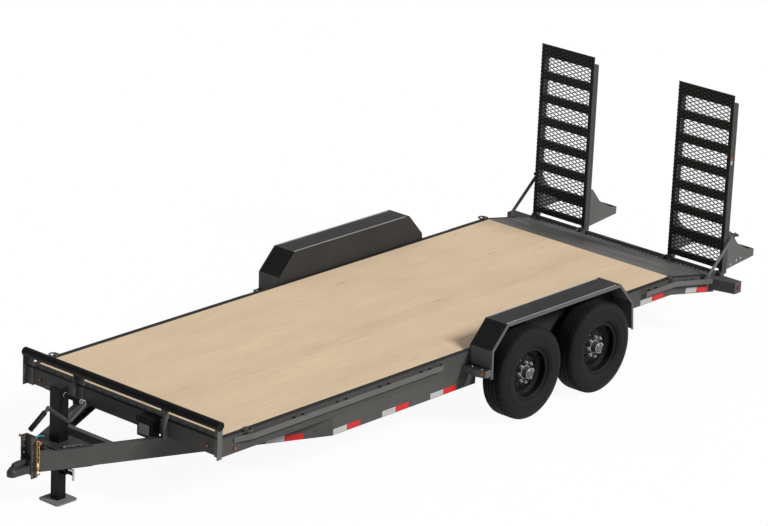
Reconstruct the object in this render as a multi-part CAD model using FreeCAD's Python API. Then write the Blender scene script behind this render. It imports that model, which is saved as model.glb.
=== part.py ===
import FreeCAD, Part

import math
import os

from FreeCAD import Vector

# Tandem-axle plant trailer with stand-up loading ramps, parked on its jack.
# Millimetres. +X points to the rear, +Y to the trailer's right, +Z up.
# The origin is on the ground, midway between the coupler's nose and the ramp feet.

os.makedirs("parts", exist_ok=True)

# Overall reach, measured from the deck's front edge
nose_reach = 1178.0
ramp_foot_reach = 6625.0
deck_front = (nose_reach - ramp_foot_reach) / 2.0

# Deck frame
deck_height = 630.0
half_width = 1060.0
flat_length = 5486.0
dovetail_length = 610.0
dovetail_drop = 111.0
channel_depth = 152.4
channel_flange = 48.8
channel_web = 5.1
channel_flange_wall = 8.7
header_cap = 70.0
header_wall = 6.4
crossmember_pitch = 406.4
crossmember_count = 13
crossmember_depth = 76.2
crossmember_flange = 35.8
crossmember_wall = 4.8
board_count = 11
board_thickness = 38.0
board_seam = 2.0
floor_plate = channel_flange_wall
ridge_height = 9.0
ridge_width = 34.0
ridge_places = (0.36, 0.72)
dovetail_channel_places = (0.12, 0.56, 0.90)
rear_wall = 6.4

# Tongue
tongue_front_reach = 936.0
tongue_front_half = 86.0
tongue_join = 1234.0
tongue_tail = 2925.0
jack_reach = 665.0
tongue_crossmember_reach = 420.0
tongue_trim = 80.0

# Coupler
coupler_channel_half = 60.0
coupler_channel_depth = 60.0
coupler_channel_wall = 9.5
coupler_channel_low = 274.0
coupler_channel_high = 600.0
coupler_hole = 18.0
coupler_hole_pitch = 50.8
coupler_hole_count = 6
ball_diameter = 58.7
socket_play = 0.5
socket_wall = 14.0
ball_height = 345.0
coupler_shank_height = 96.0
coupler_shank_drop = 22.0
coupler_lap = 10.0
coupler_hole_place = 0.4
neck_ratio = 0.9
neck_rise = 0.8
latch_half = 16.0
latch_foot = 8.0
latch_root = 10.0
latch_front_rise = 26.0
latch_top_run = 46.0
latch_top_rise = 34.0
latch_tail = 4.0
latch_tail_depth = 20.0
coupler_bolt_head = 14.0
coupler_bolt_head_height = 11.0

# Safety chains
chain_wire = 9.0
chain_eye = 8.0
chain_half = 14.0
chain_count = 5
chain_stud = 7.0
chain_stud_length = 56.0
chain_inset = 20.0
chain_drop = 32.0
chain_link_width = 0.8

# Jack
jack_tube_side = 100.0
jack_tube_wall = 7.0
jack_tube_low = 250.0
jack_tube_high = 887.0
jack_cap_height = 38.0
jack_cap_chamfer = 6.0
jack_leg_side = 80.0
jack_leg_wall = 6.0
jack_leg_high = 560.0
jack_collar = 14.0
foot_side = 216.0
foot_thickness = 12.0
foot_corner = 25.0
mount_plate = 9.5
mount_plate_front = 150.0
mount_plate_rear = 120.0
mount_plate_inset = 12.0
jack_pin_radius = 8.0
jack_pin_lift = 22.0
jack_pin_reach = 70.0
jack_pin_barrel_radius = 16.0
jack_pin_barrel = 38.0
jack_pin_grip = 12.0
jack_pin_grip_below = 42.0
jack_pin_grip_above = 26.0
crank_height = 867.0
crank_rod = 13.5
crank_bend = 26.0
crank_near = 293.0
crank_far = 143.0
crank_throw_x = 172.0
crank_throw_z = 106.0
crank_width = 228.0
crank_rise = 45.0
crank_last_drop = 120.0
grip_radius = 20.0
grip_length = 120.0
grip_lap = 12.0

# Front rail
pipe_diameter = 73.0
pipe_height = 739.0
pipe_overhang = 15.0
post_leg_wide = 76.0
post_leg_deep = 51.0
post_wall = 6.0
post_low = 469.0
pipe_setback = 11.5
post_inner_place = 500.0
post_inset = 5.0

# Rub rails
rub_gap = 38.0
rub_bar = 8.0
rub_height = 44.0
rub_drop = 22.0
rub_front_start = 320.0
rub_front_end = 2460.0
rub_rear_start = 5070.0
rub_rear_end = 6010.0
rub_turn = 200.0
pocket_length = 90.0
pocket_plate = 8.0
pocket_places = (834.0, 1321.0, 1808.0, 2295.0, 5200.0)
dovetail_pocket_place = 230.0
rub_tail = 42.0
rub_tail_wall = 12.0
brace_lug_half = 26.0
brace_lug_below = 62.0
brace_lug_above = 22.0
brace_pin_end = 4.0

# Tie-down rings
ring_wire = 6.5
ring_half = 34.0
ring_reach = 62.0
ring_inset = 18.0
ring_front_place = 275.0
ring_rear_place = 20.0
clip_half_length = 20.0
clip_half_width = 14.0
clip_wall = 4.0

# Wheels
tyre_diameter = 778.0
tyre_width = 235.0
wheel_gap = 60.0
axle_spacing = 889.0
axle_centre = 3737.5
bead_diameter = 406.0
rim_flange_diameter = 434.0
rim_width = 186.0
rim_wall = 7.0
bead_inset = 16.0
tyre_bulge = 62.0
tyre_shoulder = 26.0
tyre_shoulder_width = 14.0
tread_inset = 40.0
flange_lip = 5.0
rim_taper = 10.0
disc_dish = 15.0
disc_slope = 34.0
hub_seat_width = 44.0
wheel_disc_wall = 9.0
wheel_disc_offset = 22.0
pilot_diameter = 124.0
hand_hole = 30.0
hand_hole_circle = 250.0
hand_hole_count = 8
stud_circle = 165.1
stud_count = 8
nut_size = 24.0
drum_diameter = 300.0
drum_wall = 12.0
drum_crown = 20.0
drum_clearance = 6.0
barrel_radius = 60.0
barrel_reach = 100.0
pilot_play = 0.5
cap_root = 46.0
cap_taper = 2.0
cap_face = 30.0
cap_reach = 74.0
spindle_end_gap = 3.0
nut_height = 22.0
nut_root = 6.0
nut_seat = 0.5
spindle_diameter = 44.0
bearing_play = 0.06
axle_tube = 76.0
axle_end_inset = 150.0
spindle_reach = 66.0
backing_plate = 6.0
backing_lip = 4.0
spring_seat_half = 50.0
spring_seat = 8.0

# Springs
spring_inset = 30.0
spring_width = 45.0
spring_eye_reach = 320.0
spring_camber = 58.0
leaf_thickness = 8.0
leaf_count = 4
leaf_step = 0.2
eye_diameter = 34.0
hanger_plate = 8.0
hanger_gap = 1.0
spring_bolt = 16.0
hanger_half_top = 45.0
hanger_half_low = 24.0
hanger_below = 26.0
equalizer_lift = 30.0
equalizer_end = 24.0
equalizer_half = 14.0
equalizer_crown = 52.0

# Fenders
fender_plate = 4.0
fender_cover = 175.0
fender_lip = 22.0
bracket_height = 60.0
bracket_low = 470.0
bracket_root_reach = 85.0
bracket_elbow_reach = 101.0
bracket_elbow = 150.0
bracket_tip_reach = 70.0
bracket_inset = 4.0
bracket_lap = 10.0
bracket_lamp_share = 0.64
# Outline in side view: X from the tyres' front or rear edge, Z from the axle height
fender_front_points = ((-62.0, 52.0), (-68.0, 293.0), (114.0, 482.0))
fender_rear_points = ((-105.0, 482.0), (73.0, 286.0), (98.0, 40.0))

# Rear end
light_box_reach = 230.0
light_box_low = 401.0
light_box_high = 500.0
light_box_rear = 84.0
light_box_front = 66.0
light_box_turn = 14.0
light_box_nose = 5.0
hinge_reach = 96.0
hinge_height = 500.0
hinge_pipe = 38.0
hinge_play = 0.1
lug_plate = 12.0
lug_radius = 26.0
lug_gap = 10.0
lug_drop = 90.0
lug_rise = 14.0
pin_end = 2.0

# Ramps
ramp_overhang = 10.0
ramp_width = 600.0
ramp_rail_width = 38.0
ramp_face_reach = 86.0
mesh_sheet = 4.0
ramp_rail_depth = 66.0
ramp_rail_wall = 5.0
ramp_mesh_low = 548.0
ramp_mesh_high = 2118.0
ramp_rail_high = 2038.0
window_height = 140.0
window_pitch = 211.4
window_count = 7
window_top = 2006.0
rung_leg = 38.0
knuckle_radius = 30.0
mesh_wide = 100.0
mesh_tall = 46.0
mesh_strand = 14.0
mesh_margin = 8.0
gusset_plate = 6.0
gusset_high = 885.0
gusset_low = 536.0
gusset_lap = 4.0
gusset_top = 23.0
gusset_fall = 8.0
knee_reach = 203.0
knee_height = 742.0
heel_run = 10.0
heel_height = 660.0
foot_pad_depth = 105.0
foot_pad_low = 574.0
foot_pad_high = 641.0

# Lamps and wiring box
lamp_radius = 10.0
lamp_depth = 8.0
header_lamp_inset = 140.0
header_lamp_height = 535.0
rail_lamp_place = 144.0
rail_lamp_height = 519.0
box_lamp_place = 40.0
stop_lamp_half = 80.0
stop_lamp_half_height = 28.0
stop_lamp_depth = 12.0
stop_lamp_shift = 12.0
stop_lamp_round = 27.0
wiring_box_place = -324.0
wiring_box_width = 162.0
wiring_box_depth = 80.0
wiring_box_low = 446.0
wiring_box_high = 602.0
wiring_lid_lip = 6.0
wiring_lid_height = 42.0

# Ramp brace bars
brace_plate = 6.0
brace_width = 38.0
brace_gap = 6.0
brace_low_reach = 5922.0
brace_low_height = 562.0
brace_high_x = 179.0
brace_high_height = 860.0
brace_pin = 16.0
pin_play = 0.1
loose_gap = 0.4
knob_radius = 14.0
knob_start = 16.0
knob_end = 30.0

# Derived places
bend_x = deck_front + flat_length
rail_low = deck_height - channel_depth
tongue_low = rail_low - channel_depth
rub_high = deck_height - rub_drop
rub_low = rub_high - rub_height
slope = math.degrees(math.asin(dovetail_drop / dovetail_length))
dovetail_run = dovetail_length * math.cos(math.radians(slope))
deck_rear = bend_x + dovetail_run
rear_height = deck_height - dovetail_drop
pipe_half_length = half_width + pipe_overhang
post_outer_places = (post_inner_place, pipe_half_length - post_inset)
track_half = half_width + wheel_gap + tyre_width / 2.0
spring_half = half_width - spring_inset
fender_outer = half_width + wheel_gap + fender_cover
ramp_outer = half_width + ramp_overhang
header_lamp_place = half_width - header_lamp_inset
inner_web = half_width - channel_web
flange_tip = half_width - channel_flange
tyre_radius = tyre_diameter / 2.0
axle_height = tyre_radius
spring_top = axle_height - axle_tube / 2.0 - spring_seat
eye_z = spring_top + spring_camber
jack_x = deck_front - jack_reach
jack_pin_height = jack_tube_low + jack_collar + jack_pin_lift
tongue_front = deck_front - tongue_front_reach
hinge_x = deck_rear + hinge_reach
axles = {
    "front": deck_front + axle_centre - axle_spacing / 2.0,
    "rear": deck_front + axle_centre + axle_spacing / 2.0,
}
sides = {"left": -1.0, "right": 1.0}
beyond = 3000.0
cut_margin = 1.0


def box(x0, x1, y0, y1, z0, z1):
    return Part.makeBox(x1 - x0, y1 - y0, z1 - z0, Vector(x0, y0, z0))


def cylinder_y(radius, x, z, y0, y1):
    return Part.makeCylinder(radius, y1 - y0, Vector(x, y0, z), Vector(0, 1, 0))


def polygon_face(points):
    wire = Part.makePolygon(list(points) + [points[0]])
    return Part.Face(wire)


def side_plate(points, y0, y1):
    # A plate cut to an outline in the X-Z plane, from y0 to y1.
    face = polygon_face([Vector(x, y0, z) for x, z in points])
    return face.extrude(Vector(0, y1 - y0, 0))


def floor_plate_shape(points, z0, z1):
    # A plate cut to an outline in the X-Y plane, from z0 to z1.
    face = polygon_face([Vector(x, y, z0) for x, y in points])
    return face.extrude(Vector(0, 0, z1 - z0))


def fuse(shapes):
    result = shapes[0]
    if len(shapes) > 1:
        result = result.fuse(shapes[1:])
    return result.removeSplitter()


def mirrored(shape):
    return shape.mirror(Vector(0, 0, 0), Vector(0, 1, 0))


def on_side(shape, side):
    # Shapes are drawn on the right (+Y); the left one is the mirror image.
    return shape if sides[side] > 0 else mirrored(shape)


def save(name, shapes):
    if not isinstance(shapes, list):
        shapes = [shapes]
    solids = []
    for shape in shapes:
        solids.extend(shape.Solids)
    shape = solids[0] if len(solids) == 1 else Part.makeCompound(solids)
    shape.exportStep("parts/" + name + ".step")


def offset_path(path, distance):
    # The same open path moved sideways (to its left for positive distances), mitred at bends.
    normals = []
    for (ax, ay), (bx, by) in zip(path[:-1], path[1:]):
        run = math.hypot(bx - ax, by - ay)
        normals.append((-(by - ay) / run, (bx - ax) / run))
    moved = []
    for index, (px, py) in enumerate(path):
        before = normals[max(index - 1, 0)]
        after = normals[min(index, len(normals) - 1)]
        mx = before[0] + after[0]
        my = before[1] + after[1]
        scale = 2.0 / (mx * mx + my * my)
        moved.append((px + distance * mx * scale, py + distance * my * scale))
    return moved


def band(path, first, second):
    # Closed outline of a strip that follows the path between two sideways offsets.
    return offset_path(path, first) + offset_path(path, second)[::-1]


def rod(points, radius, bend):
    # A round bar along straight runs joined by arcs of the given bend radius.
    edges = []
    start = points[0]
    for before, corner, after in zip(points[:-2], points[1:-1], points[2:]):
        into = (corner - before).normalize()
        out = (after - corner).normalize()
        turn = into.getAngle(out)
        reach = bend * math.tan(turn / 2.0)
        arc_start = corner - into * reach
        arc_end = corner + out * reach
        inward = (out - into).normalize()
        centre = corner + inward * (bend / math.cos(turn / 2.0))
        middle = centre - inward * bend
        edges.append(Part.makeLine(start, arc_start))
        edges.append(Part.Arc(arc_start, middle, arc_end).toShape())
        start = arc_end
    edges.append(Part.makeLine(start, points[-1]))
    path = Part.Wire(edges)
    direction = (points[1] - points[0]).normalize()
    section = Part.Wire([Part.makeCircle(radius, points[0], direction)])
    return path.makePipeShell([section], True, True)


def cross_channel(x, half_length, top, depth, flange, wall, opens):
    # A channel across the trailer; its web is at x and its flanges point to opens (+1 or -1).
    web_far = x + opens * wall
    tip = x + opens * flange
    web = box(min(x, web_far), max(x, web_far), -half_length, half_length, top - depth, top)
    low = min(x, tip)
    high = max(x, tip)
    upper = box(low, high, -half_length, half_length, top - wall, top)
    lower = box(low, high, -half_length, half_length, top - depth, top - depth + wall)
    return fuse([web, upper, lower])


def deck_top(x):
    return deck_height - max(0.0, x - bend_x) * dovetail_drop / dovetail_run


def square_ended(shape, x0, x1):
    return shape.common(box(x0, x1, -beyond, beyond, -beyond, beyond))


def side_rail():
    start = deck_front + header_wall
    finish = deck_rear - rear_wall
    line = [(start, deck_height), (bend_x, deck_height), (finish + channel_depth, deck_top(finish + channel_depth))]
    web = side_plate(band(line, 0.0, -channel_depth), inner_web, half_width)
    top = side_plate(band(line, 0.0, -channel_flange_wall), flange_tip, half_width)
    low = side_plate(
        band(line, -(channel_depth - channel_flange_wall), -channel_depth), flange_tip, half_width
    )
    return square_ended(fuse([web, top, low]), start, finish)


def header():
    web = box(deck_front, deck_front + header_wall, -half_width, half_width, rail_low, deck_height)
    cap = box(
        deck_front, deck_front + header_cap, -flange_tip, flange_tip, deck_height - header_wall, deck_height
    )
    low = box(deck_front, deck_front + channel_flange, -flange_tip, flange_tip, rail_low, rail_low + header_wall)
    return fuse([web, cap, low])


def crossmembers():
    top = deck_height - board_thickness
    pieces = []
    for index in range(1, crossmember_count + 1):
        x = deck_front + index * crossmember_pitch
        pieces.append(
            cross_channel(x, inner_web, top, crossmember_depth, crossmember_flange, crossmember_wall, 1.0)
        )
    return pieces


def deck_boards():
    start = deck_front + header_cap
    pitch = (2.0 * flange_tip + board_seam) / board_count
    pieces = []
    for index in range(board_count):
        y0 = -flange_tip + index * pitch
        y1 = y0 + pitch - board_seam
        pieces.append(box(start, bend_x, y0, y1, deck_height - board_thickness, deck_height))
    return pieces


def on_slope(shape):
    turned = shape.copy()
    turned.rotate(Vector(bend_x, 0, deck_height), Vector(0, 1, 0), slope)
    return turned


def dovetail_floor():
    # A folded plate with pressed ridges across it, on cross channels.
    length = dovetail_length - 2.0 * rear_wall
    points = [(bend_x, deck_height)]
    for place in ridge_places:
        middle = bend_x + place * length
        points.append((middle - ridge_width, deck_height))
        points.append((middle, deck_height + ridge_height))
        points.append((middle + ridge_width, deck_height))
    points.append((bend_x + length, deck_height))
    plate = side_plate(band(points, 0.0, -floor_plate), -flange_tip, flange_tip)
    pieces = [plate]
    for place in dovetail_channel_places:
        x = bend_x + place * length
        pieces.append(
            cross_channel(
                x, inner_web, deck_height - floor_plate, crossmember_depth, crossmember_flange,
                crossmember_wall, 1.0
            )
        )
    return square_ended(on_slope(fuse(pieces)), bend_x, deck_rear - rear_wall)


def rear_channel():
    web = box(deck_rear - rear_wall, deck_rear, -half_width, half_width, rear_height - channel_depth, rear_height)
    low = box(
        deck_rear - channel_flange, deck_rear, -flange_tip, flange_tip,
        rear_height - channel_depth, rear_height - channel_depth + rear_wall
    )
    return fuse([web, low])


def tongue_beam():
    run_x = tongue_join + tongue_front_reach
    run_y = half_width - tongue_front_half
    first = (tongue_front - tongue_trim, tongue_front_half - tongue_trim * run_y / run_x)
    path = [first, (deck_front + tongue_join, half_width), (deck_front + tongue_tail, half_width)]
    web = floor_plate_shape(band(path, 0.0, -channel_web), tongue_low, rail_low)
    top = floor_plate_shape(band(path, 0.0, -channel_flange), rail_low - channel_flange_wall, rail_low)
    low = floor_plate_shape(band(path, 0.0, -channel_flange), tongue_low, tongue_low + channel_flange_wall)
    return square_ended(fuse([web, top, low]), tongue_front, deck_front + tongue_tail)


def tongue_web_at(x):
    # Half width of the tongue over its webs' outer faces.
    ratio = (half_width - tongue_front_half) / (tongue_join + tongue_front_reach)
    return tongue_front_half + (x - tongue_front) * ratio


def tongue_plan(x0, x1, inset):
    return [
        (x0, -tongue_web_at(x0) + inset), (x1, -tongue_web_at(x1) + inset),
        (x1, tongue_web_at(x1) - inset), (x0, tongue_web_at(x0) - inset),
    ]


def tongue_crossmember(beams):
    x = deck_front - tongue_crossmember_reach
    channel = cross_channel(
        x, tongue_web_at(x) + channel_flange, rail_low, channel_depth, channel_flange, channel_flange_wall, 1.0
    )
    inside = floor_plate_shape(tongue_plan(x, x + channel_flange, 0.0), tongue_low, rail_low)
    cut = channel.common(inside).cut(beams[0]).cut(beams[1])
    return max(cut.Solids, key=lambda solid: solid.Volume)


def jack_mount():
    x0 = jack_x - mount_plate_front
    x1 = jack_x + mount_plate_rear
    half = jack_tube_side / 2.0
    hole = box(jack_x - half, jack_x + half, -half, half, 0.0, deck_height)
    plates = []
    for z in (rail_low, tongue_low - mount_plate):
        plates.append(floor_plate_shape(tongue_plan(x0, x1, mount_plate_inset), z, z + mount_plate).cut(hole))
    return plates


def jack_tube():
    half = jack_tube_side / 2.0
    inner = half - jack_tube_wall
    leg_half = jack_leg_side / 2.0
    outer = box(jack_x - half, jack_x + half, -half, half, jack_tube_low, jack_tube_high)
    bore = box(jack_x - inner, jack_x + inner, -inner, inner, jack_tube_low + jack_collar, jack_tube_high)
    throat = box(
        jack_x - leg_half, jack_x + leg_half, -leg_half, leg_half, jack_tube_low, jack_tube_low + jack_collar
    )
    lid = box(jack_x - half, jack_x + half, -half, half, jack_tube_high, jack_tube_high + jack_cap_height)
    lid = lid.makeChamfer(jack_cap_chamfer, [edge for edge in lid.Edges if edge.BoundBox.ZMin > jack_tube_high + cut_margin])
    shaft = cylinder_y(crank_rod, jack_x, crank_height, -half - cut_margin, half + cut_margin)
    pin_hole = cylinder_y(jack_pin_radius, jack_x, jack_pin_height, -half - cut_margin, 0.0)
    return fuse([outer.cut(bore).cut(throat), lid]).cut(shaft).cut(pin_hole)


def jack_leg():
    leg_half = jack_leg_side / 2.0
    inner = leg_half - jack_leg_wall
    tube = box(jack_x - leg_half, jack_x + leg_half, -leg_half, leg_half, foot_thickness, jack_leg_high)
    tube = tube.cut(box(jack_x - inner, jack_x + inner, -inner, inner, foot_thickness, jack_leg_high))
    side = foot_side / 2.0
    foot = box(jack_x - side, jack_x + side, -side, side, 0.0, foot_thickness)
    corners = [e for e in foot.Edges if e.BoundBox.ZLength > foot_thickness - 0.1]
    foot = foot.makeFillet(foot_corner, corners)
    pin_hole = cylinder_y(jack_pin_radius, jack_x, jack_pin_height, -leg_half - cut_margin, 0.0)
    return fuse([tube, foot]).cut(pin_hole)


def jack_pin():
    # Spring plunger that locks the drop leg, with its bracket and pull ring plate.
    half = jack_tube_side / 2.0
    z = jack_pin_height
    tip = -half - jack_pin_reach
    pin = cylinder_y(jack_pin_radius, jack_x, z, tip, -jack_leg_side / 2.0 + jack_leg_wall)
    barrel = cylinder_y(jack_pin_barrel_radius, jack_x, z, -half - jack_pin_barrel, -half)
    thick = jack_pin_grip / 2.0
    grip = box(
        jack_x - thick, jack_x + thick, tip - thick, tip + thick, z - jack_pin_grip_below, z + jack_pin_grip_above
    )
    return fuse([pin, barrel, grip])


def jack_crank():
    near = -crank_near
    shaft_end = Vector(jack_x, near, crank_height)
    first = Vector(jack_x - crank_throw_x, near, crank_height - crank_throw_z)
    second = first + Vector(0, crank_width, crank_rise)
    last = second - Vector(crank_throw_x, 0, crank_last_drop)
    bar = rod([Vector(jack_x, crank_far, crank_height), shaft_end, first, second, last], crank_rod, crank_bend)
    along = (last - second).normalize()
    grip = Part.makeCylinder(grip_radius, grip_length, last - along * (grip_length - grip_lap), along)
    return bar.fuse(grip)


def coupler_holes():
    return [
        coupler_channel_low + coupler_hole_pitch / 2.0 + index * coupler_hole_pitch
        for index in range(coupler_hole_count)
    ]


def coupler_channel():
    x1 = tongue_front
    x0 = x1 - coupler_channel_depth
    outer = box(x0, x1, -coupler_channel_half, coupler_channel_half, coupler_channel_low, coupler_channel_high)
    gap = coupler_channel_half - coupler_channel_wall
    inner = box(x0, x1 - coupler_channel_wall, -gap, gap, coupler_channel_low, coupler_channel_high)
    shape = outer.cut(inner)
    hole_x = x0 + coupler_channel_depth * coupler_hole_place
    reach = coupler_channel_half + cut_margin
    for z in coupler_holes():
        drill = cylinder_y(coupler_hole / 2.0, hole_x, z, -reach, reach)
        shape = shape.cut(drill)
    return shape


def coupler():
    # Cast ball coupler: a domed socket, a shank between the channel's flanges and a latch lever.
    nose = deck_front - nose_reach
    dome = ball_diameter / 2.0 + socket_wall
    centre = nose + dome
    shank_half = coupler_channel_half - coupler_channel_wall
    shank_low = ball_height - coupler_shank_drop
    back = tongue_front - coupler_channel_wall
    front = tongue_front - coupler_channel_depth - coupler_lap
    shank_top = shank_low + coupler_shank_height
    top = ball_height + dome
    shank = box(front, back, -shank_half, shank_half, shank_low, shank_top)
    neck = floor_plate_shape(
        [
            (centre, -dome * neck_ratio), (front, -shank_half), (front, shank_half), (centre, dome * neck_ratio),
        ], shank_low, ball_height + dome * neck_rise
    )
    ball = Part.makeSphere(dome, Vector(centre, 0, ball_height))
    skirt = Part.makeCylinder(dome, coupler_shank_drop, Vector(centre, 0, shank_low))
    latch = side_plate(
        [
            (centre - latch_foot, top - latch_root), (centre + latch_foot, top + latch_front_rise),
            (centre + latch_top_run, top + latch_top_rise), (front + latch_tail, shank_top + latch_tail),
            (front + latch_tail, shank_top - latch_tail_depth),
        ], -latch_half, latch_half
    )
    body = fuse([shank, neck, ball, skirt, latch])
    body = body.cut(box(nose, centre + 2.0 * dome, -dome, dome, ball_height - dome, shank_low))
    socket = ball_diameter / 2.0 + socket_play
    hollow = Part.makeSphere(socket, Vector(centre, 0, ball_height))
    mouth = Part.makeCylinder(socket, dome, Vector(centre, 0, ball_height - dome))
    body = body.cut(hollow).cut(mouth)
    hole_x = tongue_front - coupler_channel_depth * (1.0 - coupler_hole_place)
    bolts = []
    for z in coupler_holes()[1:3]:
        bolt = cylinder_y(coupler_hole / 2.0, hole_x, z, -coupler_channel_half, coupler_channel_half)
        body = body.cut(cylinder_y(coupler_hole / 2.0, hole_x, z, -shank_half, shank_half))
        for end in (-1.0, 1.0):
            face = end * coupler_channel_half
            tip = face + end * coupler_bolt_head_height
            bolt = bolt.fuse(cylinder_y(coupler_bolt_head, hole_x, z, min(face, tip), max(face, tip)))
        bolts.append(bolt)
    return [body] + bolts


def stadium(radius, half_length, thickness):
    # An upright slab with round ends, across the Y axis.
    ends = [cylinder_y(radius, 0.0, z, -thickness / 2.0, thickness / 2.0) for z in (-half_length, half_length)]
    middle = box(-radius, radius, -thickness / 2.0, thickness / 2.0, -half_length, half_length)
    return fuse([middle] + ends)


def chain_link(centre, turned):
    # One upright link: a stadium ring, its plane turned every other link.
    link = stadium(chain_eye + chain_wire * chain_link_width, chain_half, chain_wire)
    link = link.cut(stadium(chain_eye, chain_half, chain_wire))
    if turned:
        link.rotate(Vector(0, 0, 0), Vector(0, 0, 1), 90.0)
    link.translate(centre)
    return link


def safety_chain():
    # Hangs beside the coupler channel from a stud near its top; each link bears on the one above.
    x = tongue_front - chain_inset
    y = coupler_channel_half + chain_stud_length / 2.0
    top = coupler_channel_high - chain_drop
    pieces = [cylinder_y(chain_stud, x, top, coupler_channel_half, coupler_channel_half + chain_stud_length)]
    sag = chain_eye - math.sqrt(chain_eye ** 2 - (chain_wire / 2.0) ** 2)
    pitch = 2.0 * (chain_half + chain_eye - sag)
    first = top + chain_stud - chain_half - chain_eye
    for index in range(chain_count):
        pieces.append(chain_link(Vector(x, y, first - index * pitch), index % 2 == 1))
    return pieces


def front_pipe():
    x = deck_front - pipe_diameter / 2.0 + pipe_setback
    return cylinder_y(pipe_diameter / 2.0, x, pipe_height, -pipe_half_length, pipe_half_length)


def front_posts(pipe, beams):
    posts = []
    for outer in post_outer_places:
        flat = box(deck_front - post_wall, deck_front, outer - post_leg_wide, outer, post_low, pipe_height)
        deep = box(deck_front - post_leg_deep, deck_front, outer - post_wall, outer, post_low, pipe_height)
        post = fuse([flat, deep]).cut(pipe).cut(beams[1])
        post = max(post.Solids, key=lambda solid: solid.Volume)
        posts.append(post)
        posts.append(mirrored(post))
    return posts


def rub_rail():
    # Flat bars that stand off the side rail, a little below the deck's top.
    outer = half_width + rub_gap + rub_bar
    inner = half_width + rub_gap
    front = box(
        deck_front + rub_front_start + rub_turn, deck_front + rub_front_end, inner, outer, rub_low, rub_high
    )
    finish = deck_front + rub_rear_end
    line = [(deck_front + rub_rear_start, deck_height), (bend_x, deck_height), (finish, deck_top(finish))]
    rear = side_plate(band(line, -rub_drop, -rub_drop - rub_height), inner, outer)
    pivot_x = deck_front + brace_low_reach
    lug = box(
        pivot_x - brace_lug_half, pivot_x + brace_lug_half, inner, outer,
        brace_low_height - brace_lug_below, brace_low_height + brace_lug_above
    )
    pin = cylinder_y(
        brace_pin / 2.0, pivot_x, brace_low_height, inner, outer + brace_gap + brace_plate + brace_pin_end
    )
    return [front, fuse([rear, lug, pin])]


def rub_spacers():
    # Plates between the side rail and the rub rail, in pairs that form the stake pockets.
    inner = half_width
    outer = half_width + rub_gap
    plates = []
    half = pocket_length / 2.0
    # columns: middle of the pocket, whether it lies on the dovetail's slope
    pockets = [(deck_front + place, False) for place in pocket_places] + [(bend_x + dovetail_pocket_place, True)]
    for x, sloping in pockets:
        for x0 in (x - half - pocket_plate, x + half):
            plate = box(x0, x0 + pocket_plate, inner, outer, rub_low, rub_high)
            plates.append(on_slope(plate) if sloping else plate)
    # Turned-in front end of the front bar and closed ends of both bars
    start = deck_front + rub_front_start
    wedge = [
        (start, half_width), (start + rub_turn, half_width + rub_gap),
        (start + rub_turn, half_width + rub_gap + rub_bar), (start - rub_bar, half_width),
    ]
    plates.append(floor_plate_shape(wedge, rub_low, rub_high))
    end = deck_front + rub_front_end
    tail = [
        (end, outer), (end, outer + rub_bar), (end + rub_tail, half_width),
        (end + rub_tail - rub_tail_wall, half_width),
    ]
    plates.append(floor_plate_shape(tail, rub_low, rub_high))
    return plates


def tie_down_rings():
    pieces = []
    wire = ring_wire
    half = ring_half
    reach = ring_reach
    base = half_width - ring_inset
    z = deck_height + wire
    for x in (deck_front + ring_front_place, bend_x - ring_rear_place):
        path = Part.Wire([
            Part.makeLine(Vector(x - half, base, z), Vector(x - half, base + reach - half, z)),
            Part.Arc(
                Vector(x - half, base + reach - half, z), Vector(x, base + reach, z),
                Vector(x + half, base + reach - half, z)
            ).toShape(),
            Part.makeLine(Vector(x + half, base + reach - half, z), Vector(x + half, base, z)),
        ])
        section = Part.Wire([Part.makeCircle(wire, Vector(x - half, base, z), Vector(0, 1, 0))])
        loop = path.makePipeShell([section], True, True)
        bar = Part.makeCylinder(
            wire, 2.0 * half + 2.0 * wire, Vector(x - half - wire, base, z), Vector(1, 0, 0)
        )
        clip = box(
            x - clip_half_length, x + clip_half_length, base - clip_half_width, base + clip_half_width,
            deck_height, deck_height + 2.0 * wire + clip_wall
        )
        ring = fuse([loop, bar, clip])
        pieces.append(ring)
        other = ring.copy()
        other.rotate(Vector(x, 0, 0), Vector(0, 0, 1), 180.0)
        pieces.append(other)
    return pieces


def fender_line(drop):
    # Side view of the fender from its front lower edge over the wheels, inset by drop.
    front = axles["front"] - tyre_radius
    rear = axles["rear"] + tyre_radius
    line = [(front + x, axle_height + z) for x, z in fender_front_points]
    line += [(rear + x, axle_height + z) for x, z in fender_rear_points]
    return offset_path(line, -drop)


def fender():
    outer = fender_outer
    line = fender_line(0.0)
    skin = side_plate(line + fender_line(fender_plate)[::-1], half_width, outer)
    lip = side_plate(line + fender_line(fender_lip)[::-1], outer - fender_plate, outer)
    panel = side_plate(
        [(line[0][0], rail_low)] + line[1:-1] + [(line[-1][0], rail_low)],
        half_width, half_width + fender_plate,
    )
    return fuse([skin, lip, panel])


def bracket_front():
    # Plan of the bracket's front face: at the rail, at its elbow and at its outer end.
    edge = fender_line(0.0)[0][0]
    return [
        (edge - bracket_root_reach, half_width), (edge - bracket_elbow_reach, half_width + bracket_elbow),
        (edge - bracket_tip_reach, fender_outer - bracket_inset),
    ]


def fender_brackets():
    # One under each fender's front edge, from the side rail out to the lip.
    line = fender_line(0.0)
    back = line[0][0] + bracket_lap
    front = bracket_front()
    plan = front + [(back, front[-1][1]), (back, half_width)]
    bracket = floor_plate_shape(plan, bracket_low, bracket_low + bracket_height)
    bracket = bracket.cut(side_plate([(line[0][0], 0.0)] + line + [(line[-1][0], 0.0)], 0.0, beyond))
    return [bracket, mirrored(bracket)]


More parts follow.
